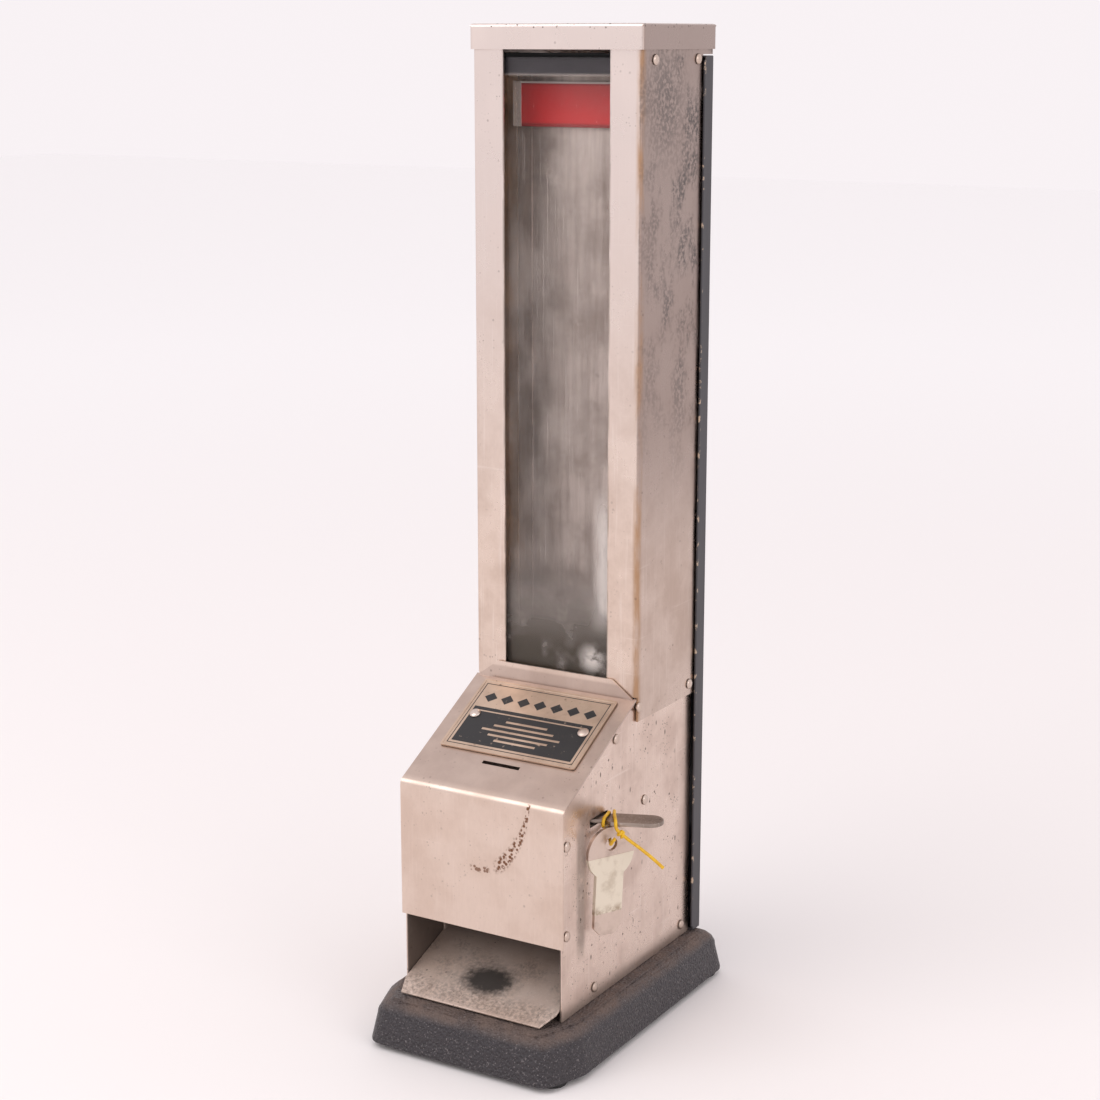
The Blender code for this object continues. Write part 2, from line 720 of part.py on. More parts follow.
def rivet_loops(rivets, radius=RIVET_SHANK_RADIUS + FIT):
    """Hole outlines for rivets that pass through a side sheet."""
    return [circle((y, z), radius) for y, z, _, _ in rivets]


def sideways(x):
    """Plane of a sheet that faces sideways, at the middle of its thickness."""
    return Matrix.Translation((x, 0, 0)) @ SIDEWAYS


def build_side_plates():
    """Lower side walls; the right one has the lever's opening."""
    drop = (SHEET + FIT) / math.cos(SLOPE_ANGLE)
    shoulder = KNEE_HEIGHT + (GLASS_FRONT - BOX_FRONT) * SLOPE_RISE - drop
    knee = offset_line(HOOD_LINE, SHEET + FIT)[1]
    glass_seat = GLASS_BOTTOM - FIT
    outline = [
        (SIDE_FRONT, FIT),
        (0.0, FIT),
        (0.0, SIDE_TOP),
        (GUIDE_FRONT, SIDE_TOP),
        (GUIDE_FRONT, glass_seat),
        (GLASS_FRONT, glass_seat),
        (GLASS_FRONT, shoulder),
        knee,
    ]
    holes = rivet_loops(SIDE_RIVETS[:8])
    lead = LEVER_SWING - LEVER_LEAN
    reach = (SIDE_OUT - LEVER_PIVOT_X) * math.tan(lead) + LEVER_NECK / 2 / math.cos(lead)
    slot_front = LEVER_PIVOT_Y - reach - 2 * FIT
    slot_middle = LEVER_BOTTOM + LEVER_THICKNESS / 2
    slot = rectangle(
        (slot_front, slot_middle - LEVER_SLOT_HEIGHT / 2),
        (slot_front + LEVER_SLOT_LENGTH, slot_middle + LEVER_SLOT_HEIGHT / 2),
    )
    middle = (SIDE_IN + SIDE_OUT) / 2
    finish(plate("side_plate_right", outline, SHEET, sideways(middle), holes + [slot]), "nickel")
    finish(plate("side_plate_left", outline, SHEET, sideways(-middle), holes), "nickel")


def build_hood():
    """Front panel, slope and lip in one folded sheet, with flanges inside the side walls."""
    hood = plate("hood_panel", folded(HOOD_LINE, SHEET), BODY_WIDTH, SIDEWAYS)
    lip_bottom = SLOPE_TOP - SHEET
    lip_half = LIP_WIDTH / 2
    lip = [
        (-lip_half - LIP_MITRE, lip_bottom),
        (lip_half + LIP_MITRE, lip_bottom),
        (lip_half, SILL_HEIGHT),
        (-lip_half, SILL_HEIGHT),
    ]
    lip_place = Matrix.Translation((0, (LIP_FRONT + LIP_BACK) / 2, 0)) @ FACING
    join(hood, plate("lip", lip, SHEET, lip_place))
    outer = offset_line(HOOD_LINE, SHEET / 2)
    inner = offset_line(HOOD_LINE, HOOD_FLANGE)
    start = MOUTH_HEIGHT + SHEET
    outer[0] = (outer[0][0], start)
    inner[0] = (inner[0][0], start)
    flange = outer + [(inner[-1][0], outer[-1][1])] + inner[::-1]
    holes = rivet_loops(SIDE_RIVETS[0:2] + SIDE_RIVETS[3:5])
    middle = (LINER_IN + LINER_OUT) / 2
    for x in (middle, -middle):
        join(hood, plate("flange", flange, SHEET, sideways(x), holes))
    half_slot = COIN_SLOT_LENGTH / 2
    slot_low = (-half_slot, COIN_SLOT_RISE - COIN_SLOT_WIDTH / 2, -3 * SHEET)
    slot_high = (half_slot, COIN_SLOT_RISE + COIN_SLOT_WIDTH / 2, 3 * SHEET)
    cut(hood, box("coin slot", slot_low, slot_high, SLOPE_FRAME))
    for x in plate_rivet_columns():
        start = (x, plate_middle(), -3 * SHEET)
        hole = rod("hole", RIVET_SHANK_RADIUS + FIT, start, (x, plate_middle(), 3 * SHEET))
        hole.data.transform(SLOPE_FRAME)
        cut(hood, hole)
    finish(hood, "nickel")


def plate_rivet_columns():
    """Where the two rivets of the instruction plate stand, across the hood."""
    return (PLATE_RIVET_SPACING / 2, -PLATE_RIVET_SPACING / 2)


def plate_middle():
    """Middle of the instruction plate, up the slope."""
    return PLATE_RISE + PLATE_LENGTH / 2


def build_slope_fittings():
    """Instruction plate with its rivets, and the coin chute under the slot."""
    outline = rectangle((-PLATE_WIDTH / 2, PLATE_RISE), (PLATE_WIDTH / 2, PLATE_RISE + PLATE_LENGTH))
    holes = [circle((x, plate_middle()), RIVET_SHANK_RADIUS + FIT) for x in plate_rivet_columns()]
    lift = SLOPE_FRAME @ Matrix.Translation((0, 0, FIT + PLATE_THICKNESS / 2))
    finish(plate("instruction_plate", outline, PLATE_THICKNESS, lift, holes), "etched_nickel")
    grip = FIT + PLATE_THICKNESS + SHEET
    for number, x in enumerate(plate_rivet_columns(), 1):
        place = SLOPE_FRAME @ Matrix.Translation((x, plate_middle(), FIT + PLATE_THICKNESS))
        finish(rivet(f"plate_rivet_{number}", place, grip), "steel")
    half = (CHUTE_TUBE_WIDTH / 2, CHUTE_TUBE_DEPTH / 2)
    inner = (half[0] - SHEET, half[1] - SHEET)
    outline = rectangle((-half[0], COIN_SLOT_RISE - half[1]), (half[0], COIN_SLOT_RISE + half[1]))
    bore = rectangle((-inner[0], COIN_SLOT_RISE - inner[1]), (inner[0], COIN_SLOT_RISE + inner[1]))
    sink = SLOPE_FRAME @ Matrix.Translation((0, 0, -SHEET - FIT - CHUTE_TUBE_LENGTH / 2))
    finish(plate("coin_chute", outline, CHUTE_TUBE_LENGTH, sink, [bore]), "galvanised")


def build_tower():
    """Tower with its window, rear collar and the catch for the lock, and the glass."""
    tower = box("tower_shell", (-HALF, TOWER_FRONT, SEAM_HEIGHT), (HALF, COLLAR_DEPTH, TOWER_TOP))
    inside = COLLAR_DEPTH - SHEET
    cut(
        tower,
        box(
            "inside",
            (-TOWER_IN, TOWER_FRONT + SHEET, SEAM_HEIGHT - SPARE),
            (TOWER_IN, inside, TOWER_TOP + SPARE),
        ),
        box(
            "door opening",
            (-HALF - SPARE, 0.0, SEAM_HEIGHT - SPARE),
            (HALF + SPARE, COLLAR_DEPTH + SPARE, DOOR_TOP + 2 * FIT),
        ),
        box(
            "window",
            (-WINDOW_WIDTH / 2, TOWER_FRONT - SPARE, SEAM_HEIGHT - SPARE),
            (WINDOW_WIDTH / 2, TOWER_FRONT + SPARE, CAP_BOTTOM + FIT),
        ),
        box(
            "foot of the frame",
            (-HALF - SPARE, TOWER_FRONT - SPARE, SEAM_HEIGHT - SPARE),
            (HALF + SPARE, GLASS_FRONT, TOWER_FRONT_BOTTOM),
        ),
    )
    cut(tower, *rivet_holes((SIDE_RIVETS[0], *SIDE_RIVETS[7:])))
    catch_low = (LOCK_X + LOCK_RADIUS + SHEET, -SHEET - FIT, LOCK_HEIGHT - CAM_WIDTH)
    catch_high = (TOWER_IN + SHEET / 2, -FIT, LOCK_HEIGHT + CAM_WIDTH)
    join(tower, box("catch", catch_low, catch_high))
    finish(tower, "nickel")
    glass = box("window_glass", (-SIDE_OUT, GLASS_FRONT, GLASS_BOTTOM), (SIDE_OUT, GLASS_BACK, GLASS_TOP))
    finish(glass, "glass")


def build_cap():
    """Top cover with two tongues that are riveted inside the tower."""
    half = HALF + FIT + SHEET
    front = TOWER_FRONT - FIT - SHEET
    cap = box("cap", (-half, front, CAP_BOTTOM), (half, CAP_REAR, CAP_TOP))
    round_top(cap, CAP_TOP, CAP_ROUND, 3)
    low = (-half + SHEET, front + SHEET, CAP_BOTTOM - SPARE)
    high = (half - SHEET, CAP_REAR - SHEET, CAP_TOP - SHEET)
    cut(cap, box("inside", low, high))
    tongue = rectangle((GUIDE_FRONT, CAP_BOTTOM - CAP_TONGUE), (-CAP_TONGUE_REAR, CAP_TOP - SHEET / 2))
    middle = (SIDE_IN + SIDE_OUT) / 2
    for x in (middle, -middle):
        join(cap, plate("tongue", tongue, SHEET, sideways(x), rivet_loops(SIDE_RIVETS[8:])))
    finish(cap, "nickel")


def build_stack():
    """Guides, back plate and the display card that show through the glass."""
    for side, name in ((1, "guide_right"), (-1, "guide_left")):
        edge = side * (LINER_OUT - GUIDE_FLANGE)
        wall = side * LINER_OUT
        line = [(edge, GUIDE_REAR), (wall, GUIDE_REAR), (wall, GUIDE_FRONT), (edge, GUIDE_FRONT)]
        outline = folded(line if side > 0 else line[::-1], SHEET)
        height = GLASS_TOP - GUIDE_BOTTOM
        lift = Matrix.Translation((0, 0, GUIDE_BOTTOM + height / 2))
        finish(plate(name, outline, height, lift), "galvanised")
    back_front = GUIDE_REAR + FIT
    low = (-LINER_IN, back_front, SHELF_HEIGHT + STICK_GATE)
    back = box("magazine_back", low, (LINER_IN, back_front + SHEET, MAGAZINE_TOP))
    for side in (1, -1):
        x = side * BEAD_SPACING / 2
        bead_low = (x - BEAD_WIDTH / 2, back_front - FIT - BEAD_WIDTH / 4, low[2] + SHEET)
        bead_high = (x + BEAD_WIDTH / 2, back_front + SHEET / 2, MAGAZINE_TOP - SHEET)
        join(back, box("bead", bead_low, bead_high))
    finish(back, "galvanised")
    card_back = GUIDE_REAR - SHEET - FIT
    low = (-CARD_WIDTH / 2, card_back - CARD_THICKNESS, CARD_BOTTOM)
    finish(box("display_card", low, (CARD_WIDTH / 2, card_back, CARD_BOTTOM + CARD_HEIGHT)), "red_card")


def build_chute():
    """Sloping floor from the door to the lip in front of the mouth."""
    lip_y = BOX_FRONT - CHUTE_REACH
    rear_y = -CHUTE_REAR_GAP
    rise = math.tan(CHUTE_ANGLE)
    line = [(lip_y, CHUTE_LIP_HEIGHT), (rear_y, CHUTE_LIP_HEIGHT + (rear_y - lip_y) * rise)]
    floor = plate("chute_floor", folded(line, SHEET), 2 * LINER_OUT, SIDEWAYS)
    taper_y = lip_y + CHUTE_REACH
    for side in (1, -1):
        corner = [
            (side * (LINER_OUT - CHUTE_TAPER), lip_y - SHEET),
            (side * (LINER_OUT + SHEET), lip_y - SHEET),
            (side * (LINER_OUT + SHEET), taper_y + SHEET),
        ]
        cut(floor, plate("corner", corner, 8 * SPARE))
    flange_front = BOX_FRONT + CHUTE_FLANGE_FRONT_MARGIN
    flange_rear = -CHUTE_FLANGE_REAR
    flange = []
    for y, lift in ((flange_front, -SHEET / 2), (flange_rear, -SHEET / 2), (flange_rear, CHUTE_FLANGE)):
        flange.append((y, CHUTE_LIP_HEIGHT + (y - lip_y) * rise + lift))
    flange.append((flange_front, flange[0][1] + SHEET / 2 + CHUTE_FLANGE))
    middle = (LINER_IN + LINER_OUT) / 2
    for x in (middle, -middle):
        join(floor, plate("flange", flange, SHEET, sideways(x)))
    finish(floor, "nickel")


def build_shelf():
    """Mechanism plate under the stack: ears, rails, the post's hole and the coin's way out."""
    outline = rectangle((-LINER_OUT, -SHELF_FRONT), (LINER_OUT, -SHELF_REAR))
    exit_y = COIN_POCKET_Y + SLIDE_STROKE
    holes = [
        circle((LEVER_PIVOT_X, LEVER_PIVOT_Y), POST_RADIUS + FIT, 16),
        circle((COIN_POCKET_X, exit_y), COIN_POCKET_RADIUS + FIT, 24),
    ]
    middle = Matrix.Translation((0, 0, SHELF_HEIGHT - SHELF_THICKNESS / 2))
    shelf = plate("mechanism_plate", outline, SHELF_THICKNESS, middle, holes)
    rivet_y = SIDE_RIVETS[2][0]
    ear_low = SHELF_HEIGHT - SHELF_THICKNESS / 2
    ear_ends = (rivet_y - EAR_LENGTH / 2, rivet_y + EAR_LENGTH / 2)
    ear = rectangle((ear_ends[0], ear_low), (ear_ends[1], SHELF_HEIGHT + EAR_HEIGHT))
    ear_middle = (LINER_IN + LINER_OUT) / 2
    rail_rear = PUSHER_EDGE - PUSHER_DEPTH - FIT
    for side in (1, -1):
        join(shelf, plate("ear", ear, SHEET, sideways(side * ear_middle), rivet_loops(SIDE_RIVETS[2:3])))
        inner = side * (SLIDE_WIDTH / 2 + FIT)
        low_x, high_x = sorted((inner, inner + side * RAIL_WIDTH))
        rail_low = (low_x, -SHELF_FRONT + SHEET, ear_low)
        join(shelf, box("rail", rail_low, (high_x, rail_rear, SHELF_HEIGHT + RAIL_HEIGHT)))
    finish(shelf, "galvanised")


def build_slide():
    """Gum slide: pusher blade, coin pocket and the slot for the lever's pin."""
    half_tail = SLIDE_WIDTH / 2
    half_head = PUSHER_WIDTH / 2
    front = DRIVE_PIN_REST.y - SLIDE_FRONT_MARGIN
    neck = PUSHER_EDGE - PUSHER_DEPTH
    outline = [
        (-half_tail, front),
        (half_tail, front),
        (half_tail, neck),
        (half_head, neck),
        (half_head, PUSHER_EDGE),
        (-half_head, PUSHER_EDGE),
        (-half_head, neck),
        (-half_tail, neck),
    ]
    nearest = LEVER_PIVOT_X - LEVER_ARM
    clear = DRIVE_PIN_RADIUS + FIT
    yoke = rectangle(
        (nearest - clear - FIT, DRIVE_PIN_REST.y - clear),
        (DRIVE_PIN_REST.x + clear + FIT, DRIVE_PIN_REST.y + clear),
    )
    pocket = circle((COIN_POCKET_X, COIN_POCKET_Y), COIN_POCKET_RADIUS, 24)
    lift = Matrix.Translation((0, 0, SLIDE_BOTTOM + SLIDE_THICKNESS / 2))
    finish(plate("gum_slide", outline, SLIDE_THICKNESS, lift, [yoke, pocket]), "steel")


def build_lever():
    """Lever with its drive pin, and the post, nut and spring that it turns on."""
    half = LEVER_WIDTH / 2
    neck = LEVER_NECK / 2
    arm = LEVER_ARM_WIDTH / 2
    boss_angle = math.degrees(math.asin(neck / LEVER_BOSS_RADIUS))
    arm_angle = math.degrees(math.asin(arm / LEVER_BOSS_RADIUS))
    flare = TIE_STATION - 2 * TIE_RADIUS
    outline = [(flare - (half - neck), -neck), (flare, -half)]
    outline += arc((LEVER_REACH - half, 0.0), half, -90, 90, 10)
    outline += [(flare, half), (flare - (half - neck), neck)]
    outline += arc((0.0, 0.0), LEVER_BOSS_RADIUS, boss_angle, 180 - arm_angle, 5)
    outline += arc((-LEVER_ARM, 0.0), arm, 90, 270, 8)
    outline += arc((0.0, 0.0), LEVER_BOSS_RADIUS, 180 + arm_angle, 360 - boss_angle, 5)
    hole = circle((0.0, 0.0), POST_RADIUS + FIT, 16)
    lift = Matrix.Translation((0, 0, LEVER_THICKNESS / 2))
    lever = plate("lever", outline, LEVER_THICKNESS, lift, [hole])
    pin_end = SLIDE_BOTTOM + FIT - LEVER_BOTTOM
    pin_top = (-LEVER_ARM, 0, LEVER_THICKNESS / 2)
    join(lever, rod("pin", DRIVE_PIN_RADIUS, (-LEVER_ARM, 0, pin_end), pin_top, 12))
    lever.rotation_euler.z = LEVER_LEAN
    lever.location = LEVER_FRAME.translation
    finish(lever, "nickel")
    foot = SHELF_HEIGHT - SHELF_THICKNESS - SHEET
    shoulder = SHELF_HEIGHT + FIT
    seat = LEVER_BOTTOM - FIT
    nut_low = LEVER_TOP + FIT
    post_top = nut_low + NUT_HEIGHT + SHEET
    profile = [
        (0.0, post_top),
        (POST_RADIUS, post_top),
        (POST_RADIUS, seat),
        (SHOULDER_RADIUS, seat),
        (SHOULDER_RADIUS, shoulder),
        (POST_RADIUS, shoulder),
        (POST_RADIUS, foot),
        (0.0, foot),
    ]
    axis = Matrix.Translation((LEVER_PIVOT_X, LEVER_PIVOT_Y, 0))
    finish(turned("pivot_post", profile, 16, axis), "steel")
    nut = plate(
        "pivot_nut",
        circle((0, 0), NUT_RADIUS, 6),
        NUT_HEIGHT,
        axis @ Matrix.Translation((0, 0, nut_low + NUT_HEIGHT / 2)),
        [circle((0, 0), POST_RADIUS + FIT, 16)],
    )
    finish(nut, "steel")
    mean = SHOULDER_RADIUS + SPRING_WIRE_RADIUS + 2 * FIT
    low = shoulder + SPRING_WIRE_RADIUS + FIT
    rise = seat - SPRING_WIRE_RADIUS - low
    count = int(SPRING_TURNS * 10)
    coil = []
    for i in range(count + 1):
        angle = 2 * math.pi * SPRING_TURNS * i / count
        coil.append((mean * math.cos(angle), mean * math.sin(angle), low + rise * i / count))
    finish(wire("return_spring", coil, SPRING_WIRE_RADIUS, 1, axis), "steel")


def wire(name, points, radius, resolution, place=FLAT, swell=None):
    """A round wire along points; swell gives the radius factor at each point."""
    curve = bpy.data.curves.new(name, "CURVE")
    curve.dimensions = "3D"
    curve.bevel_depth = radius
    curve.bevel_resolution = resolution
    curve.use_fill_caps = True
    spline = curve.splines.new("POLY")
    spline.points.add(len(points) - 1)
    for i, (point, place_at) in enumerate(zip(spline.points, points)):
        point.co = (*place_at, 1.0)
        point.radius = swell[i] if swell else 1.0
    return solid_from_curve(name, curve, place)


def build_cash_box():
    """Coin drawer and the two runners that carry it."""
    half = CASH_BOX_WIDTH / 2
    low = (-half, -CASH_BOX_FRONT, CASH_BOX_BOTTOM)
    high = (half, CASH_BOX_REAR, CASH_BOX_BOTTOM + CASH_BOX_HEIGHT)
    drawer = box("cash_box", low, high)
    inner_low = [value + SHEET for value in low]
    inner_high = (half - SHEET, CASH_BOX_REAR - SHEET, high[2] + SHEET)
    cut(drawer, box("inside", inner_low, inner_high))
    finish(drawer, "galvanised")
    top = CASH_BOX_BOTTOM - FIT
    for side, name in ((1, "runner_right"), (-1, "runner_left")):
        edge = side * (LINER_OUT - RUNNER_SHELF)
        wall = side * LINER_OUT
        line = [(edge, top - SHEET), (wall, top - SHEET), (wall, top + RUNNER_WEB)]
        outline = folded(line[::-1] if side > 0 else line, SHEET)
        length = CASH_BOX_FRONT - RUNNER_REAR
        place = Matrix.Translation((0, -(CASH_BOX_FRONT + RUNNER_REAR) / 2, 0)) @ FACING
        finish(plate(name, outline, length, place), "galvanised")


def build_door():
    """Rear door pan with its lock hole, the hinge and the cam lock."""
    door = box("back_door", (-DOOR_HALF, DOOR_FRONT, DOOR_BOTTOM), (DOOR_HALF, DOOR_BACK, DOOR_TOP))
    inner = DOOR_HALF - SHEET
    cut(
        door,
        box(
            "inside",
            (-inner, DOOR_FRONT - SPARE, DOOR_BOTTOM + SHEET),
            (inner, DOOR_BACK - SHEET, DOOR_TOP - SHEET),
        ),
        box(
            "top notch",
            (-DOOR_HALF - SPARE, DOOR_FRONT - SPARE, DOOR_TOP - 2 * SHEET),
            (DOOR_HALF + SPARE, FIT, DOOR_TOP + SPARE),
        ),
        box(
            "bottom notch",
            (-DOOR_HALF - SPARE, DOOR_FRONT - SPARE, DOOR_BOTTOM - SPARE),
            (DOOR_HALF + SPARE, FIT, DOOR_BOTTOM + 2 * SHEET),
        ),
        rod(
            "lock hole",
            LOCK_RADIUS + FIT,
            (LOCK_X, DOOR_BACK - 2 * SHEET, LOCK_HEIGHT),
            (LOCK_X, DOOR_BACK + SHEET, LOCK_HEIGHT),
            20,
        ),
    )
    finish(door, "black_enamel", (HINGE_AXIS_X, HINGE_AXIS_Y, DOOR_BOTTOM))
    build_hinge()
    build_lock()


def hinge_rod(name, radius, low, high):
    """A round bar along the hinge's axis."""
    start = (HINGE_AXIS_X, HINGE_AXIS_Y, low)
    return rod(name, radius, start, (HINGE_AXIS_X, HINGE_AXIS_Y, high), 16)


def knuckle(low, high):
    """One solid knuckle of the hinge; the pin's hole is cut after it is joined to its leaf."""
    return hinge_rod("knuckle", KNUCKLE_RADIUS, low, high)


def build_hinge():
    """Hinge leaves on the tower and on the door, and the pin."""
    leaf = SHEET * 0.9
    body_out = -HALF - FIT
    lower_end = HINGE_BOTTOM + KNUCKLE_LENGTH
    upper_end = HINGE_TOP - KNUCKLE_LENGTH
    clear = KNUCKLE_RADIUS + FIT
    fixed = box(
        "hinge_leaf_body",
        (body_out - leaf, HINGE_AXIS_Y - HINGE_LEAF_WIDTH, HINGE_BOTTOM),
        (body_out, HINGE_AXIS_Y - clear, HINGE_TOP),
    )
    for low, high in ((HINGE_BOTTOM, lower_end), (upper_end, HINGE_TOP)):
        web_low = (body_out - leaf, HINGE_AXIS_Y - clear - SHEET, low + SHEET / 2)
        join(fixed, box("web", web_low, (body_out, HINGE_AXIS_Y, high - SHEET / 2)))
        join(fixed, knuckle(low, high))
    cut(fixed, hinge_rod("bore", HINGE_PIN_RADIUS + FIT, HINGE_BOTTOM - SHEET, HINGE_TOP + SHEET))
    finish(fixed, "steel")
    door_in = -DOOR_HALF - FIT
    moving = box(
        "hinge_leaf_door",
        (door_in - leaf, HINGE_AXIS_Y + clear + FIT, HINGE_BOTTOM),
        (door_in, DOOR_BACK - SHEET, HINGE_TOP),
    )
    low = lower_end + FIT
    high = upper_end - FIT
    join(
        moving,
        box(
            "web",
            (door_in - leaf * 0.9, HINGE_AXIS_Y + HINGE_PIN_RADIUS, low + SHEET / 2),
            (door_in - leaf * 0.1, HINGE_AXIS_Y + clear + SHEET, high - SHEET / 2),
        ),
        knuckle(low, high),
    )
    cut(moving, hinge_rod("bore", HINGE_PIN_RADIUS + FIT, low - SHEET, high + SHEET))
    finish(moving, "steel", (HINGE_AXIS_X, HINGE_AXIS_Y, HINGE_BOTTOM))
    finish(hinge_rod("hinge_pin", HINGE_PIN_RADIUS, HINGE_BOTTOM, HINGE_TOP), "steel")


def build_lock():
    """Cam lock in the door: barrel, plug with its keyway, and the cam."""
    axis = Matrix.Translation((LOCK_X, DOOR_BACK, LOCK_HEIGHT)) @ Matrix.Rotation(-math.pi / 2, 4, "X")
    seat = FIT
    top = seat + LOCK_FLANGE_HEIGHT
    bottom = seat - LOCK_BODY_LENGTH
    bore = PLUG_RADIUS + FIT
    profile = [
        (bore, bottom),
        (bore, top),
        (LOCK_FLANGE_RADIUS, top),
        (LOCK_FLANGE_RADIUS, seat),
        (LOCK_RADIUS, seat),
        (LOCK_RADIUS, bottom),
        (bore, bottom),
    ]
    finish(turned("lock_barrel", profile, 20, axis), "brass")
    plug_low = bottom - FIT
    plug = rod("lock_plug", PLUG_RADIUS, (0, 0, plug_low), (0, 0, top + FIT), 16)
    keyway = (PLUG_RADIUS * 0.16, PLUG_RADIUS * 0.62)
    cut(plug, box("keyway", (-keyway[0], -keyway[1], top - KEYWAY_DEPTH), (*keyway, top + SPARE)))
    plug.data.transform(axis)
    pivot = (LOCK_X, DOOR_BACK, LOCK_HEIGHT)
    finish(plug, "brass", pivot)
    cam_half = CAM_WIDTH / 2
    tip = CAM_LENGTH - cam_half
    outline = arc((0.0, 0.0), cam_half, 180, 360, 8) + arc((0.0, tip), cam_half, 0, 180, 8)
    cam_y = DOOR_BACK + plug_low - FIT - CAM_THICKNESS / 2
    cam_place = Matrix.Translation((LOCK_X, cam_y, LOCK_HEIGHT)) @ FACING
    finish(plate("lock_cam", outline, CAM_THICKNESS, cam_place), "steel", pivot)


def key_place():
    """Plane of the hanging key, with its origin at the hole."""
    hang = LEVER_FRAME @ Matrix.Translation((TIE_STATION, 0, 0))
    tilt = Matrix.Rotation(KEY_TILT, 4, "Z")
    return Matrix.Translation(hang @ KEY_HANG) @ Matrix.Rotation(KEY_TURN, 4, "Z") @ FACING @ tilt


def smooth_route(points, steps):
    """Points of a smooth curve through a route."""
    route = [Vector(point) for point in points]
    ends = [route[0] * 2 - route[1]] + route + [route[-1] * 2 - route[-2]]
    curve = []
    for p0, p1, p2, p3 in zip(ends, ends[1:], ends[2:], ends[3:]):
        for i in range(steps):
            t = i / steps
            near = p1 * 2 + (p2 - p0) * t
            far = (p0 * 2 - p1 * 5 + p2 * 4 - p3) * t**2 + (p1 * 3 - p0 - p2 * 3 + p3) * t**3
            curve.append((near + far) / 2)
    return curve + [route[-1]]


def build_key():
    """Flat key and the tie that hangs it on the lever."""
    shank = KEY_SHANK_WIDTH / 2
    bow_centre = KEY_HOLE_MARGIN - KEY_BOW_RADIUS
    tip = KEY_HOLE_MARGIN - KEY_LENGTH
    spread = math.degrees(math.asin(shank / KEY_BOW_RADIUS))
    outline = arc((0.0, bow_centre), KEY_BOW_RADIUS, -90 + spread, 270 - spread, 24)
    outline += [(-shank, tip + shank / 2), (-shank / 2, tip), (shank / 2, tip), (shank, tip + shank / 2)]
    hole = circle((0.0, 0.0), KEY_HOLE_RADIUS, 14)
    finish(plate("key", outline, KEY_THICKNESS, key_place(), [hole]), "steel", tie_point())
    route = smooth_route(TIE_ROUTE, TIE_STEPS)
    swell = [1.0] * len(route)
    middle = KNOT_POINT * TIE_STEPS
    for i in range(middle - 1, middle + 2):
        swell[i] = KNOT_SWELL
    hang = LEVER_FRAME @ Matrix.Translation((TIE_STATION, 0, 0))
    finish(wire("key_tie", route, TIE_RADIUS, 2, hang, swell), "yellow_tie")


def tie_point():
    """Where the tie hangs on the lever."""
    return LEVER_FRAME @ Vector((TIE_STATION, 0, 0))


def build_side_rivets():
    """Rivets of the right wall, and the same ones mirrored to the left."""
    for side, word in ((1, "right"), (-1, "left")):
        turn = Matrix.Rotation(side * math.pi / 2, 4, "Y")
        for number, (y, z, outer, inner) in enumerate(SIDE_RIVETS, 1):
            place = Matrix.Translation((side * outer, y, z)) @ turn
            finish(rivet(f"side_rivet_{word}_{number}", place, outer - inner), "nickel")


def main():
    """Build every part under one empty that puts the origin under the middle of the footprint."""
    global PARTS, FRAME
    clear_scene()
    make_materials()
    PARTS = bpy.data.collections.new("gum_stick_dispenser")
    bpy.context.scene.collection.children.link(PARTS)
    FRAME = bpy.data.objects.new("dispenser_frame", None)
    FRAME.location = -ORIGIN
    PARTS.objects.link(FRAME)
    build_base()
    build_side_plates()
    build_hood()
    build_slope_fittings()
    build_tower()
    build_cap()
    build_stack()
    build_chute()
    build_shelf()
    build_slide()
    build_lever()
    build_cash_box()
    build_door()
    build_key()
    build_side_rivets()


main()
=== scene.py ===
"""Looks of a counter-top coin dispenser for wrapped gum sticks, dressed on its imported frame."""

import logging
import math
from dataclasses import dataclass, field
from enum import Enum
from functools import partial, reduce
from typing import Callable, Sequence

import bmesh
import bpy
from mathutils import Matrix, Vector


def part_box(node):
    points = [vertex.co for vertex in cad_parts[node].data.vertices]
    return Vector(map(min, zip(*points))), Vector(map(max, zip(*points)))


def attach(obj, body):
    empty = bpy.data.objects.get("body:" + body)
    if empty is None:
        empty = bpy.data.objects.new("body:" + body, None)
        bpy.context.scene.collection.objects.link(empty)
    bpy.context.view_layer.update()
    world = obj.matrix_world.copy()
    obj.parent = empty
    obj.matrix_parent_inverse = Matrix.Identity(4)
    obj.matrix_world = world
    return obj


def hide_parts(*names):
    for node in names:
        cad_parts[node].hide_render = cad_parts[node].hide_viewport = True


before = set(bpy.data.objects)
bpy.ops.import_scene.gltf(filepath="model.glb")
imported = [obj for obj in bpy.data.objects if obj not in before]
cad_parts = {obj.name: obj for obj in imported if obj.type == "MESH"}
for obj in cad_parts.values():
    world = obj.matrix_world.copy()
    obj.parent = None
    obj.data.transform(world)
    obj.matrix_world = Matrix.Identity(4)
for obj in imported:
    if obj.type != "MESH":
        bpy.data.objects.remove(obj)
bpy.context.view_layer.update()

LOG = logging.getLogger("dispenser")
Colour = tuple[float, float, float]
Point = tuple[float, float, float]
Socket = bpy.types.NodeSocket
Tree = bpy.types.NodeTree
Material = bpy.types.Material
Piece = bpy.types.Object
Shape = bmesh.types.BMesh
Edge = bmesh.types.BMEdge
EdgeTest = Callable[[Edge], bool]
Values = dict[str, object]
PLAIN: Point = (1, 1, 1)
SHADER = "Principled BSDF"

MM = 0.001
MERGE = 1e-6
NEAR = 1e-5
SMOOTH_ANGLE = math.radians(35)
FLAT_ANGLE = math.radians(0.5)
SHARP_ANGLE = math.radians(40)
BEND_ANGLE = math.radians(20)

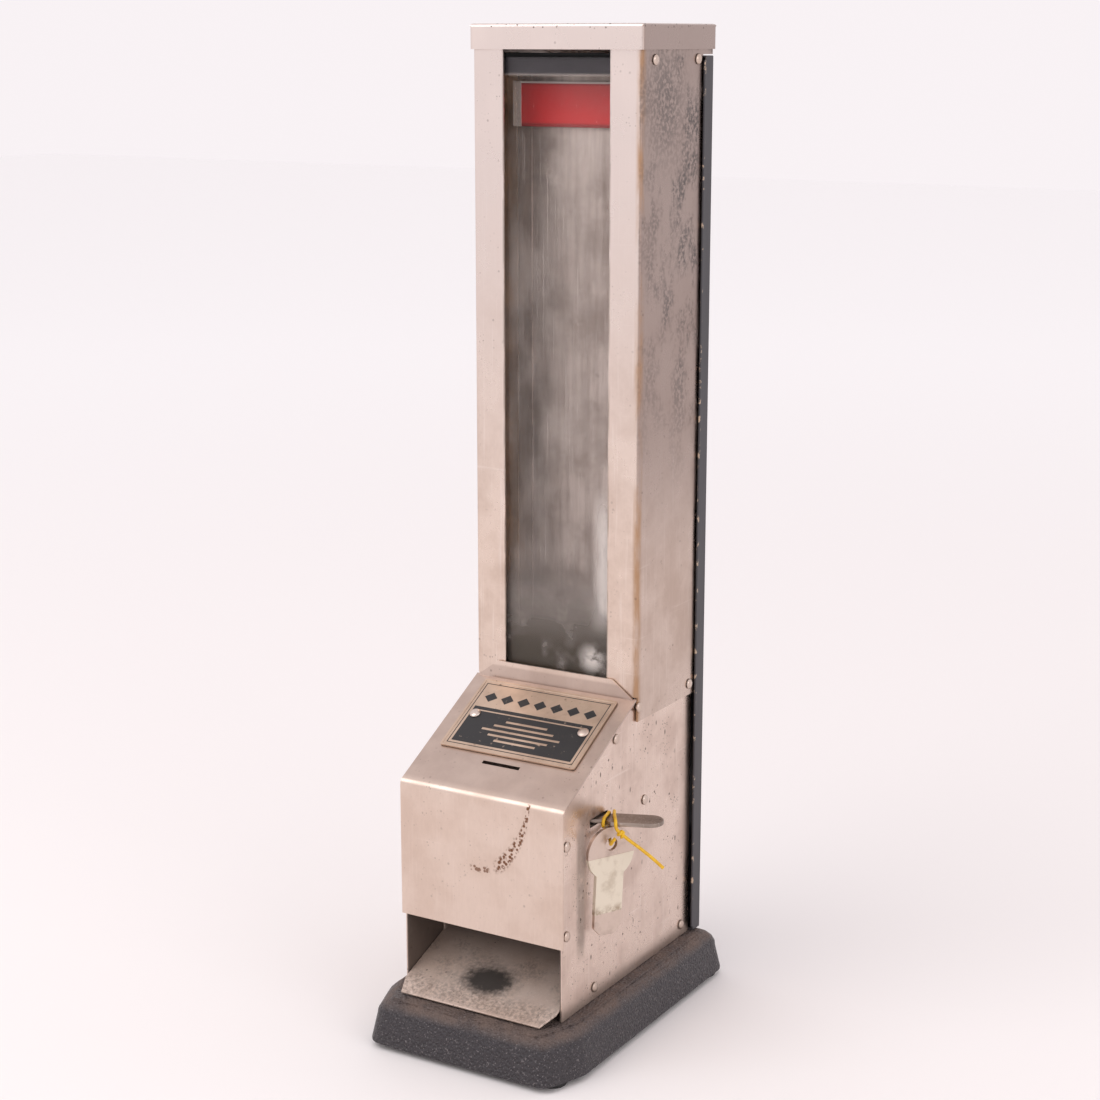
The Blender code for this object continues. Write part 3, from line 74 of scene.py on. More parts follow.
# Places that several pieces share, from the frame, in metres
HOOD_LOW, HOOD_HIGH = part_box("hood_panel")
TOWER_LOW, TOWER_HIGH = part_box("tower_shell")
GLASS_LOW, GLASS_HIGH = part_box("window_glass")
MIDDLE_X = (HOOD_LOW.x + HOOD_HIGH.x) / 2
SLOPE_ANGLE = math.radians(27.7)
KNEE_HEIGHT = 0.1278
KNEE = Matrix.Translation((MIDDLE_X, HOOD_LOW.y, KNEE_HEIGHT))
SLOPE_FRAME = KNEE @ Matrix.Rotation(SLOPE_ANGLE, 4, "X")


class Body(str, Enum):
    """The bodies of the frame that pieces ride on."""

    FIXED = "body"
    LEVER = "lever"
    KEY = "key"
    DOOR = "door"


class Slot(str, Enum):
    """The record's material slots."""

    NICKEL = "nickel"
    ETCHED = "etched_nickel"
    CRACKLE = "black_crackle"
    ENAMEL = "black_enamel"
    STEEL = "steel"
    GLASS = "glass"
    CARD = "red_card"
    RUBBER = "rubber"
    TIE = "yellow_tie"


@dataclass
class Graph:
    """A short way to write shader nodes in one node tree."""

    tree: Tree

    def node(self, kind: str, inputs: dict | None = None, **settings) -> bpy.types.Node:
        """Add a node.

        Args:
            kind: the node's type, without the ShaderNode prefix.
            inputs: a value or a socket for each input, by name or number.
            settings: properties of the node.

        Returns:
            The new node.
        """
        made = self.tree.nodes.new("ShaderNode" + kind)
        for name, value in settings.items():
            setattr(made, name, value)
        for name, value in (inputs or {}).items():
            self.feed(made.inputs[name], value)
        return made

    def feed(self, socket: Socket, value: object) -> None:
        """Link a socket into an input, or set the input's own value."""
        if isinstance(value, Socket):
            self.tree.links.new(value, socket)
        elif socket.type == "RGBA" and len(value) == 3:
            socket.default_value = (*value, 1.0)
        else:
            socket.default_value = value

    def math(self, operation: str, first: object, second: object = 0.0) -> Socket:
        """A Math node's result."""
        return self.node("Math", {0: first, 1: second}, operation=operation).outputs[0]

    def vector(self, operation: str, first: object, second: object = (0, 0, 0)) -> Socket:
        """A Vector Math node's result."""
        made = self.node("VectorMath", {0: first, 1: second}, operation=operation)
        return made.outputs["Value" if operation == "LENGTH" else "Vector"]

    def sum(self, first: object, second: object) -> Socket:
        """Two values added."""
        return self.math("ADD", first, second)

    def less(self, first: object, second: object) -> Socket:
        """One value with another taken off."""
        return self.math("SUBTRACT", first, second)

    def size(self, value: object) -> Socket:
        """A value without its sign."""
        return self.math("ABSOLUTE", value)

    def product(self, *values: object) -> Socket:
        """Several values multiplied together."""
        return reduce(partial(self.math, "MULTIPLY"), values)

    def most(self, *values: object) -> Socket:
        """The greatest of several values."""
        return reduce(partial(self.math, "MAXIMUM"), values)

    def ramp(self, value: object, start: float, end: float, low: float = 0.0, high: float = 1.0) -> Socket:
        """A smooth step from low to high while a value goes from start to end."""
        inputs = {"Value": value, "From Min": start, "From Max": end, "To Min": low, "To Max": high}
        return self.node("MapRange", inputs, interpolation_type="SMOOTHSTEP").outputs[0]

    def band(self, value: object, middle: float, half: float, soft: float) -> Socket:
        """A mask that is 1 where a value is within half of the middle."""
        away = self.size(self.less(value, middle))
        return self.ramp(away, half + soft, half)

    def mix(self, share: object, first: object, second: object) -> Socket:
        """A colour between two others."""
        made = self.node("Mix", data_type="RGBA")
        for index, value in ((0, share), (6, first), (7, second)):
            self.feed(made.inputs[index], value)
        return made.outputs[2]

    def noise(self, vector: Socket, scale: float, detail: float = 4.0, stretch: Point = PLAIN) -> Socket:
        """Noise on coordinates that may be stretched."""
        if stretch != PLAIN:
            vector = self.mapped(vector, stretch=stretch)
        inputs = {"Vector": vector, "Scale": scale, "Detail": detail, "Roughness": 0.6}
        return self.node("TexNoise", inputs).outputs["Fac"]

    def mapped(self, vector: Socket, turn: Point = (0, 0, 0), stretch: Point = PLAIN) -> Socket:
        """Coordinates turned and stretched."""
        return self.node("Mapping", {"Vector": vector, "Rotation": turn, "Scale": stretch}).outputs[0]

    def cells(self, vector: Socket, scale: float) -> Socket:
        """Distance to the nearest of scattered points."""
        return self.node("TexVoronoi", {"Vector": vector, "Scale": scale}).outputs["Distance"]

    def axes(self, vector: Socket) -> tuple[Socket, Socket, Socket]:
        """The three parts of a vector."""
        outputs = self.node("SeparateXYZ", {"Vector": vector}).outputs
        return outputs[0], outputs[1], outputs[2]

    def near(self, vector: Socket, spot: Point, radius: float, squeeze: Point = PLAIN) -> Socket:
        """A soft round mask about a spot."""
        away = self.vector("MULTIPLY", self.vector("SUBTRACT", vector, spot), squeeze)
        return self.ramp(self.vector("LENGTH", away), radius, 0.0)

    def bump(self, height: Socket, distance: float, strength: float = 1.0) -> Socket:
        """A normal from a height map."""
        inputs = {"Height": height, "Distance": distance, "Strength": strength}
        return self.node("Bump", inputs).outputs[0]

    def place(self, group: Tree, **inputs: object) -> bpy.types.Node:
        """Use a node group, with its inputs by name."""
        made = self.node("Group", node_tree=group)
        for name, value in inputs.items():
            self.feed(made.inputs[name.capitalize()], value)
        return made


def new_group(name: str, inputs: Sequence[str], outputs: Sequence[str]) -> tuple[Graph, Socket, Socket]:
    """Start a shader node group.

    Args:
        name: the group's name.
        inputs: names of its inputs; the first is a vector and the others are values.
        outputs: names of its values.

    Returns:
        The graph, the group's input sockets and its output sockets.
    """
    tree = bpy.data.node_groups.new(name, "ShaderNodeTree")
    for i, label in enumerate(inputs):
        kind = "NodeSocketVector" if i == 0 else "NodeSocketFloat"
        tree.interface.new_socket(name=label, in_out="INPUT", socket_type=kind)
    for label in outputs:
        tree.interface.new_socket(name=label, in_out="OUTPUT", socket_type="NodeSocketFloat")
    entry = tree.nodes.new("NodeGroupInput")
    leave = tree.nodes.new("NodeGroupOutput")
    return Graph(tree), entry.outputs, leave.inputs


def worn_sheet_group() -> Tree:
    """Wear of plated sheet: cloudy tarnish, fine grain, scratches, dark pits and the height of them."""
    names = ("Cloud", "Grain", "Scratch", "Pits", "Height")
    g, given, out = new_group("worn_sheet", ("Vector", "Pitting"), names)
    vector = given["Vector"]
    cloud = g.ramp(g.noise(vector, 34.0, 6.0), 0.36, 0.70)
    grain = g.noise(vector, 900.0, 3.0, (1.0, 1.0, 0.35))
    spread = g.ramp(g.noise(vector, 60.0, 3.0), 0.42, 0.70)
    thick = g.ramp(g.noise(vector, 210.0, 2.0), 0.48, 0.60)
    thin = g.ramp(g.noise(vector, 120.0, 2.0), 0.46, 0.56)
    small = g.product(g.ramp(g.cells(vector, 520.0), 0.26, 0.10), thick)
    large = g.product(g.ramp(g.cells(vector, 200.0), 0.17, 0.07), thin)
    pits = g.product(g.most(small, large), spread, given["Pitting"])
    steep = g.mapped(vector, (0.5, 0.4, 0.0), (1, 1, 0.03))
    level = g.mapped(vector, (0.2, -0.3, 0.0), (0.04, 0.04, 1))
    upright = g.ramp(g.noise(vector, 850.0, 2.0, (1, 1, 0.025)), 0.58, 0.72)
    slanted = g.ramp(g.noise(steep, 620.0, 2.0), 0.64, 0.74)
    across = g.ramp(g.noise(level, 520.0, 2.0), 0.66, 0.76)
    scratch = g.most(upright, slanted, across)
    dents = g.noise(vector, 26.0, 3.0)
    ripple = g.sum(g.product(grain, 0.10), g.product(dents, 0.9))
    height = g.less(g.less(ripple, pits), g.product(scratch, 0.10))
    for name, value in zip(names, (cloud, grain, scratch, pits, height)):
        g.feed(out[name], value)
    return g.tree


def grime_group() -> Tree:
    """Dirt that gathers low down: strongest at the foot and broken up by noise."""
    g, given, out = new_group("low_grime", ("Vector", "Foot", "Reach"), ("Mask",))
    _, _, z = g.axes(given["Vector"])
    rise = g.math("DIVIDE", g.less(z, given["Foot"]), given["Reach"])
    fall = g.ramp(rise, 1.0, 0.0)
    patchy = g.ramp(g.noise(given["Vector"], 120.0, 5.0), 0.30, 0.65)
    g.feed(out["Mask"], g.product(fall, g.sum(g.product(patchy, 0.65), 0.35)))
    return g.tree


WORN_SHEET = worn_sheet_group()
LOW_GRIME = grime_group()


class Finish:
    """A procedural surface on Object coordinates."""

    name: str

    def material(self) -> Material:
        """Build the finish's material."""
        material = bpy.data.materials.new(self.name)
        material.use_nodes = True
        g = Graph(material.node_tree)
        values = self.looks(g, g.node("TexCoord").outputs["Object"])
        for name, value in values.items():
            g.feed(g.tree.nodes[SHADER].inputs[name], value)
        return material

    def looks(self, g: Graph, place: Socket) -> Values:
        """Values and sockets for the shader's inputs.

        Args:
            g: the material's graph.
            place: its Object coordinates.
        """
        raise NotImplementedError


Mark = tuple[Socket, Colour]  # a mask and the colour that it lays on
MarkMaker = Callable[[Graph, Socket], Mark]


@dataclass(frozen=True)
class NickelFinish(Finish):
    """Old nickel plate: satin, pinkish, clouded and pitted, with marks of its own place, some of them
    painted light and shade.
    """

    name: str
    bright: Colour = (0.76, 0.62, 0.535)
    dull: Colour = (0.60, 0.465, 0.385)
    roughness: float = 0.27
    metallic: float = 1.0
    pitting: float = 0.5
    scratching: float = 0.28
    foot: float = 0.022
    grime_reach: float = 0.02
    stains_and_shade: tuple[MarkMaker, ...] = ()
    tints: tuple[MarkMaker, ...] = ()

    def looks(self, g: Graph, place: Socket) -> Values:
        """Values of the shader's inputs."""
        wear = g.place(WORN_SHEET, vector=place, pitting=self.pitting).outputs
        grime = g.place(LOW_GRIME, vector=place, foot=self.foot, reach=self.grime_reach).outputs[0]
        colour = g.mix(wear["Cloud"], self.bright, self.dull)
        colour = g.mix(g.product(wear["Grain"], 0.18), colour, (0.34, 0.26, 0.21))
        colour = g.mix(g.product(wear["Scratch"], self.scratching), colour, (0.88, 0.78, 0.72))
        # Tints of tone, most of them painted light and shade.
        for tint in self.tints:
            mask, shade = tint(g, place)
            colour = g.mix(mask, colour, shade)
        cover = g.product(grime, 0.8)
        colour = g.mix(cover, colour, (0.10, 0.065, 0.040))
        # Marks of real dirt and rust, and of painted shade and shadow, each laid on over the rest.
        for stain in self.stains_and_shade:
            mask, dirt = stain(g, place)
            colour = g.mix(mask, colour, dirt)
            cover = g.most(cover, mask)
        colour = g.mix(wear["Pits"], colour, (0.055, 0.030, 0.018))
        cover = g.most(cover, wear["Pits"])
        rough = g.ramp(wear["Cloud"], 0.0, 1.0, self.roughness, self.roughness + 0.10)
        return {"Base Color": colour,
                "Metallic": g.ramp(cover, 0.0, 1.0, self.metallic, 0.15 * self.metallic),
                "Roughness": g.sum(rough, g.product(cover, 0.25)),
                "Normal": g.bump(wear["Height"], 0.00012, 0.6)}


RUST: Colour = (0.16, 0.060, 0.022)
SOOT: Colour = (0.045, 0.038, 0.036)


def slope_darkening(g: Graph, place: Socket) -> Mark:
    """The slope is duller and darker than the upright panel, with cloudy streaks down it."""
    _, y, z = g.axes(place)
    slope = g.product(g.ramp(y, HOOD_LOW.y + 0.0008, HOOD_LOW.y + 0.005), g.ramp(z, 0.1700, 0.1685))
    return g.product(slope, g.ramp(g.noise(place, 70.0, 5.0), 0.2, 0.8, 0.50, 0.90)), (0.47, 0.365, 0.315)


def painted_top_light(g: Graph, place: Socket) -> Mark:
    """Painted light: the tower's front is whiter towards the top."""
    _, _, z = g.axes(place)
    return g.ramp(z, 0.20, 0.44, 0.0, 0.85), (0.80, 0.705, 0.665)


def painted_wall_shade(g: Graph, place: Socket) -> Mark:
    """Painted shade: the tower's right wall darkens upwards."""
    x, _, z = g.axes(place)
    wall = g.ramp(x, 0.0355, 0.0366)
    return g.product(wall, g.ramp(z, 0.205, 0.300, 0.25, 0.85)), (0.315, 0.235, 0.205)


def painted_cap_shade(g: Graph, place: Socket) -> Mark:
    """Painted shade: the cap's right side is darker."""
    x, _, _ = g.axes(place)
    return g.product(g.ramp(x, 0.0371, 0.0381), 0.85), (0.33, 0.25, 0.22)


def front_rust(g: Graph, place: Socket) -> Mark:
    """Arc of rust specks on the front panel, with a short tail."""
    x, _, z = g.axes(place)
    across = g.less(x, -0.0292)
    up = g.less(z, 0.1318)
    radius = g.math("SQRT", g.sum(g.product(across, across), g.product(up, up)))
    width = g.ramp(z, 0.092, 0.126, 0.0042, 0.0012)
    away = g.math("DIVIDE", g.size(g.less(radius, 0.048)), width)
    ends = g.product(g.ramp(x, -0.0015, 0.003), g.ramp(z, 0.0905, 0.0940), g.ramp(z, 0.1285, 0.1275))
    arc = g.product(g.ramp(away, 1.0, 0.45), ends)
    tail = g.product(g.band(z, 0.0922, 0.0010, 0.0010), g.band(x, -0.0077, 0.0040, 0.002), 0.85)
    specks = g.ramp(g.cells(place, 620.0), 0.62, 0.40)
    breaks = g.ramp(g.noise(place, 380.0, 3.0), 0.36, 0.46)
    return g.product(g.most(arc, tail), specks, breaks), RUST


def opening_rust(g: Graph, place: Socket) -> Mark:
    """Brown halo at the upper front of the lever's opening."""
    halo = g.near(place, (0.0357, -0.0325, 0.1175), 0.013, (1, 1, 1.9))
    return g.product(halo, g.ramp(g.noise(place, 150.0, 4.0), 0.25, 0.6)), (0.12, 0.055, 0.025)


def painted_shadow_band(g: Graph, place: Socket) -> Mark:
    """Painted shadow: a dark upright band on the right wall beside the key."""
    x, y, z = g.axes(place)
    shadow_strip = g.product(g.band(y, -0.0420, 0.0018, 0.0035), g.band(z, 0.084, 0.024, 0.014))
    right = g.ramp(x, 0.0, 0.01, 0.0, 0.75)
    return g.product(shadow_strip, right, g.ramp(g.noise(place, 140.0), 0.15, 0.55)), (0.24, 0.18, 0.145)


def inner_face_shade(g: Graph, place: Socket) -> Mark:
    """Painted shade on the walls' inner faces, inside the case."""
    x, _, _ = g.axes(place)
    return g.product(g.band(x, MIDDLE_X, 0.0425, 0.0003), 0.85), (0.055, 0.038, 0.028)


def wall_dents(g: Graph, place: Socket) -> Mark:
    """Short slanting dents, painted dark for the dirt in them and the shade of their hollows, in loose
    clusters.
    """
    dashes = g.ramp(g.cells(g.mapped(place, (0.6, 0.0, 0.0), (1.0, 1.0, 0.42)), 230.0), 0.17, 0.07)
    crumbs = g.ramp(g.cells(place, 640.0), 0.24, 0.12)
    cluster = g.ramp(g.noise(place, 48.0, 3.0), 0.47, 0.60)
    thin = g.ramp(g.noise(place, 90.0, 2.0), 0.50, 0.58)
    return g.product(g.most(dashes, g.product(crumbs, thin)), cluster, 0.9), (0.070, 0.042, 0.028)


def cap_specks(g: Graph, place: Socket) -> Mark:
    """Row of small dark specks along the cap's upper edge."""
    _, _, z = g.axes(place)
    row = g.ramp(z, 0.4708, 0.4722)
    return g.product(row, g.ramp(g.cells(place, 360.0), 0.22, 0.10), 0.9), (0.075, 0.050, 0.040)


def tower_mottle(g: Graph, place: Socket) -> Mark:
    """Black mottling high on the tower's right wall, thicker towards the rear."""
    x, y, z = g.axes(place)
    high = g.ramp(z, 0.235, 0.36)
    rear = g.ramp(y, 0.005, 0.055, 0.45, 1.0)
    blotch = g.ramp(g.noise(place, 75.0, 8.0, (1, 1, 0.55)), 0.43, 0.62)
    speck = g.ramp(g.noise(place, 520.0, 4.0), 0.36, 0.60)
    top = g.product(g.near(place, (0.037, 0.030, 0.44), 0.045, (1, 1.5, 1)), 0.8)
    wall = g.ramp(x, 0.0352, 0.0364)
    return g.product(wall, g.most(g.product(high, rear, blotch, speck), g.product(top, speck)), 0.85), SOOT


def corner_rust(g: Graph, place: Socket) -> Mark:
    """Rust that runs down the tower's right front corner."""
    x, y, _ = g.axes(place)
    edge = g.product(g.ramp(x, 0.0335, 0.0362), g.ramp(y, 0.0125, 0.0085))
    runs = g.ramp(g.noise(place, 95.0, 6.0, (1, 1, 0.22)), 0.40, 0.66)
    return g.product(edge, runs, 0.9), (0.38, 0.205, 0.095)


def window_edge_grime_and_shade(g: Graph, place: Socket) -> Mark:
    """Dark line along the window's cut edges: painted shade where the sheet folds inward, with dirt in runs.
    """
    x, _, _ = g.axes(place)
    side = g.size(g.less(x, MIDDLE_X))
    edge = g.band(side, 0.0284, 0.0001, 0.0006)
    runs = g.ramp(g.noise(place, 110.0, 4.0, (1, 1, 0.4)), 0.35, 0.6)
    return g.product(edge, runs, 0.45), (0.09, 0.055, 0.03)


def chute_grit_and_shade(g: Graph, place: Socket) -> Mark:
    """Brown grit near the chute's lip, and painted shade far inside."""
    _, y, _ = g.axes(place)
    grit = g.ramp(g.noise(place, 620.0, 8.0), 0.34, 0.66)
    lip = g.product(g.ramp(y, -0.056, -0.064), g.ramp(y, -0.0712, -0.0695), grit, 0.6)
    # Painted shade: darker far inside the chute.
    inside = g.product(g.ramp(y, -0.040, -0.015), 0.97)
    haze = g.product(g.ramp(g.noise(place, 80.0, 6.0), 0.42, 0.70), grit, 0.6)
    return g.most(lip, inside, haze), (0.085, 0.055, 0.040)


def chute_soot(g: Graph, place: Socket) -> Mark:
    """Black smudge in the middle of the chute floor, with a feathered edge."""
    feather = g.product(g.noise(place, 380.0, 8.0), 0.70)
    spot = g.near(place, (-0.008, -0.0525, 0.0336), 0.021, (0.85, 1.25, 1.25))
    return g.product(g.ramp(g.sum(spot, feather), 0.45, 1.10), 0.95), (0.010, 0.008, 0.007)


@dataclass(frozen=True)
class SheetFinish(Finish):
    """Plain inner metal: dull sheet or machined stock with streaks and a little dirt."""

    name: str
    bright: Colour
    dull: Colour
    roughness: float = 0.45
    streak: Point = (1.0, 1.0, 0.05)
    pitting: float = 0.3

    def looks(self, g: Graph, place: Socket) -> Values:
        """Values of the shader's inputs."""
        wear = g.place(WORN_SHEET, vector=place, pitting=self.pitting).outputs
        streaks = g.ramp(g.noise(place, 320.0, 4.0, self.streak), 0.30, 0.72)
        colour = g.mix(wear["Cloud"], self.bright, self.dull)
        colour = g.mix(g.product(streaks, 0.45), colour, self.dull)
        colour = g.mix(wear["Pits"], colour, (0.05, 0.032, 0.022))
        return {"Base Color": colour, "Metallic": 0.95,
                "Roughness": g.ramp(streaks, 0.0, 1.0, self.roughness, self.roughness + 0.14),
                "Normal": g.bump(g.sum(wear["Height"], streaks), 0.00008, 0.5)}


@dataclass(frozen=True)
class CrackleFinish(Finish):
    """Black crinkle paint on a casting, dusty brown where hands and dirt reach."""

    name: str = "black_crinkle_paint"
    black: Colour = (0.024, 0.018, 0.020)
    dust: Colour = (0.175, 0.125, 0.103)

    def looks(self, g: Graph, place: Socket) -> Values:
        """Values of the shader's inputs."""
        _, _, z = g.axes(place)
        crinkle = g.ramp(g.cells(place, 700.0), 0.10, 0.75)
        lumps = g.noise(place, 420.0, 5.0)
        specks = g.ramp(g.noise(place, 1100.0, 2.0), 0.60, 0.70)
        upper = g.ramp(z, 0.0185, 0.0232)
        patchy = g.ramp(g.noise(place, 65.0, 6.0), 0.30, 0.66)
        dust = g.product(upper, g.sum(g.product(patchy, 0.6), 0.28))
        colour = g.mix(lumps, self.black, (0.038, 0.034, 0.040))
        colour = g.mix(g.product(specks, 0.55), colour, (0.30, 0.27, 0.27))
        colour = g.mix(dust, colour, self.dust)
        height = g.sum(g.product(crinkle, 0.8), lumps)
        return {"Base Color": colour,
                "Roughness": g.ramp(g.most(dust, g.product(lumps, 0.5)), 0.0, 1.0, 0.34, 0.85),
                "Normal": g.bump(height, 0.0007, 0.9)}


@dataclass(frozen=True)
class EnamelFinish(Finish):
    """Satin black enamel with chips along its edges."""

    name: str = "satin_black_enamel"

    def looks(self, g: Graph, place: Socket) -> Values:
        """Values of the shader's inputs."""
        x, y, _ = g.axes(place)
        brushed = g.noise(place, 160.0, 5.0, (1, 1, 0.12))
        edge = g.product(g.ramp(x, 0.0368, 0.0380), g.ramp(y, 0.0672, 0.0662))
        chips = g.product(edge, g.ramp(g.noise(place, 240.0, 4.0), 0.58, 0.63))
        colour = g.mix(brushed, (0.022, 0.020, 0.025), (0.050, 0.046, 0.052))
        colour = g.mix(chips, colour, (0.48, 0.36, 0.26))
        return {"Base Color": colour, "Roughness": g.ramp(brushed, 0.2, 0.8, 0.30, 0.50),
                "Normal": g.bump(brushed, 0.0001, 0.4)}


@dataclass(frozen=True)
class GlassFinish(Finish):
    """Window glass with faint waves; shadow rays pass through it."""

    name: str = "window_glass"

    def looks(self, g: Graph, place: Socket) -> Values:
        """Values of the shader's inputs."""
        _, _, z = g.axes(place)
        edge = g.ramp(z, 0.4586, 0.4592)
        smear = g.noise(place, 60.0, 3.0, (1, 1, 0.2))
        clear = g.node("BsdfTransparent")
        glass = g.tree.nodes[SHADER]
        shadow = g.node("LightPath").outputs["Is Shadow Ray"]
        blend = g.node("MixShader", {0: shadow, 1: glass.outputs[0], 2: clear.outputs[0]})
        g.feed(g.tree.nodes["Material Output"].inputs["Surface"], blend.outputs[0])
        return {"Base Color": g.mix(edge, (0.96, 0.96, 0.945), (0.01, 0.01, 0.01)),
                "Transmission Weight": 1.0, "IOR": 1.22, "Roughness": 0.0,
                "Normal": g.bump(smear, 0.0001, 0.2)}


@dataclass(frozen=True)
class HazeAndLightFinish(Finish):
    """Film on the inside of the glass: old dirt as vertical scratches and haze, a dark foot of dirt and
    painted shade of the sill, a dark band at the head, a painted reflection and a painted glint.
    """

    name: str = "glass_haze_and_light"
    sill: float = 0.1715

    def looks(self, g: Graph, place: Socket) -> Values:
        """Values of the shader's inputs."""
        x, _, z = g.axes(place)
        scratch = g.ramp(g.noise(place, 900.0, 3.0, (1, 1, 0.02)), 0.56, 0.74)
        haze = g.ramp(g.noise(place, 40.0, 6.0, (1, 1, 0.5)), 0.36, 0.72)
        # Dark foot above the sill: dirt, and painted shade of the sill.
        low = g.ramp(z, self.sill + 0.055, self.sill + 0.006)
        foot = g.product(low, g.ramp(g.noise(place, 70.0, 5.0), 0.1, 0.5))
        specks = g.ramp(g.cells(place, 300.0), 0.10, 0.05)
        # Painted reflection: a pale patch near the window's right edge.
        blur = g.ramp(g.noise(place, 130.0, 4.0, (1, 1, 0.3)), 0.25, 0.6, 0.55, 1.0)
        painted_reflection = g.product(g.ramp(x, 0.0080, 0.0170), g.ramp(z, 0.188, 0.206), g.ramp(z, 0.268, 0.240), blur)
        # Painted glint: a whitish patch low down at the right.
        lump_glint = g.near(place, (0.0110, 0.0112, 0.1785), 0.010)
        lump_glint = g.product(lump_glint, g.ramp(g.noise(place, 170.0, 5.0), 0.35, 0.55))
        colour = g.mix(foot, (0.60, 0.51, 0.48), (0.060, 0.042, 0.028))
        colour = g.mix(g.most(painted_reflection, lump_glint), colour, (0.86, 0.78, 0.75))
        head = g.ramp(z, 0.4500, 0.4522)
        colour = g.mix(head, colour, (0.030, 0.023, 0.030))
        veil = g.sum(g.product(scratch, 0.09), g.product(haze, 0.17))
        veil = g.product(g.sum(veil, 0.03), g.ramp(z, 0.430, 0.420, 0.12, 1.0))
        patches = g.most(g.product(foot, 0.85), g.product(painted_reflection, 0.72), g.product(lump_glint, 0.6),
                         g.product(head, 0.93))
        return {"Base Color": colour, "Roughness": 0.6,
                "Alpha": g.most(veil, patches, g.product(specks, 0.3))}


@dataclass(frozen=True)
class CardFinish(Finish):
    """Plain red display card with a foil end, darker at its top and bottom edges, and a painted reflection
    as a pale line along its top.
    """

    name: str = "red_card"
    foil_end: float = -0.0405

    def looks(self, g: Graph, place: Socket) -> Values:
        """Values of the shader's inputs."""
        x, _, z = g.axes(place)
        foil = g.ramp(x, self.foil_end + 0.0004, self.foil_end)
        crush = g.noise(place, 260.0, 4.0, (1.6, 1, 0.5))
        red = g.mix(g.noise(place, 120.0, 4.0), (0.82, 0.026, 0.030), (0.66, 0.016, 0.020))
        rim = g.most(g.ramp(z, 0.4292, 0.4276), g.ramp(z, 0.4452, 0.4470))
        red = g.mix(g.product(rim, 0.7), red, (0.20, 0.010, 0.012))
        # Painted reflection: a pale line along the card's top edge.
        red = g.mix(g.ramp(z, 0.4466, 0.4469), red, (0.70, 0.60, 0.57))
        height = g.product(crush, g.ramp(foil, 0.0, 1.0, 0.1, 1.0))
        return {"Base Color": g.mix(foil, red, (0.92, 0.88, 0.88)), "Metallic": g.product(foil, 0.6),
                "Roughness": g.ramp(foil, 0.0, 1.0, 0.42, 0.25), "Normal": g.bump(height, 0.0012, 0.8)}


@dataclass(frozen=True)
class EtchedPlateFinish(Finish):
    """Etched nickel plate with a plain geometric design in black."""

    half_width: float
    half_length: float
    middle: float
    name: str = "etched_plate"
    rule_foot: float = -0.0165
    rule_pitch: float = 0.0032
    rule_reach: float = 0.0215
    rule_taper: float = 0.0050
    lozenge_pitch: float = 0.0092
    lozenge_rise: float = 0.0120
    lozenge_height: float = 0.0085

    def looks(self, g: Graph, place: Socket) -> Values:
        """Values of the shader's inputs."""
        spot = SLOPE_FRAME @ Vector((0.0, self.middle, 0.0))
        moved = g.vector("SUBTRACT", place, tuple(spot))
        u, v, _ = g.axes(g.mapped(moved, tuple(SLOPE_FRAME.inverted().to_euler())))
        side = g.size(u)
        inset = g.math("MINIMUM", g.less(self.half_width, side), g.less(self.half_length, g.size(v)))
        keyline = g.band(inset, 0.0027, 0.00018, 0.0001)
        panel = g.product(g.ramp(inset, 0.0041, 0.0043), g.ramp(v, 0.0052, 0.0050))
        count = g.math("DIVIDE", g.sum(v, -self.rule_foot), self.rule_pitch)
        step = g.math("FLOOR", count)
        reach = g.less(self.rule_reach, g.size(g.product(g.less(step, 2.0), self.rule_taper)))
        ends = g.ramp(side, reach, g.less(reach, 0.0003))
        rules = g.product(g.band(g.math("FRACT", count), 0.5, 0.17, 0.05), ends,
                          g.ramp(v, -0.0166, -0.0164), g.ramp(v, 0.0001, -0.0001))
        row = g.less(g.math("FRACT", g.sum(g.math("DIVIDE", u, self.lozenge_pitch), 0.5)), 0.5)
        rise = g.math("DIVIDE", g.less(v, self.lozenge_rise), self.lozenge_height)
        lozenge = g.ramp(g.sum(g.size(row), g.size(rise)), 0.40, 0.37)
        lozenges = g.product(lozenge, g.ramp(side, 0.0322, 0.0320))
        line = g.product(g.band(v, 0.0026, 0.00035, 0.0001), g.ramp(side, 0.0302, 0.0300))
        black = g.most(keyline, g.less(panel, g.most(rules, line)), lozenges)
        wear = g.place(WORN_SHEET, vector=place, pitting=0.7).outputs
        scuffed = g.product(black, g.ramp(g.noise(place, 260.0, 5.0), 0.22, 0.36))
        metal = g.mix(wear["Cloud"], (0.64, 0.49, 0.38), (0.46, 0.34, 0.26))
        colour = g.mix(scuffed, metal, (0.012, 0.011, 0.012))
        colour = g.mix(wear["Pits"], colour, (0.06, 0.035, 0.02))
        height = g.less(g.product(wear["Height"], 0.4), black)
        return {"Base Color": colour, "Metallic": g.ramp(scuffed, 0.0, 1.0, 1.0, 0.0),
                "Roughness": g.ramp(wear["Cloud"], 0.0, 1.0, 0.34, 0.48),
                "Normal": g.bump(height, 0.00012, 0.8)}


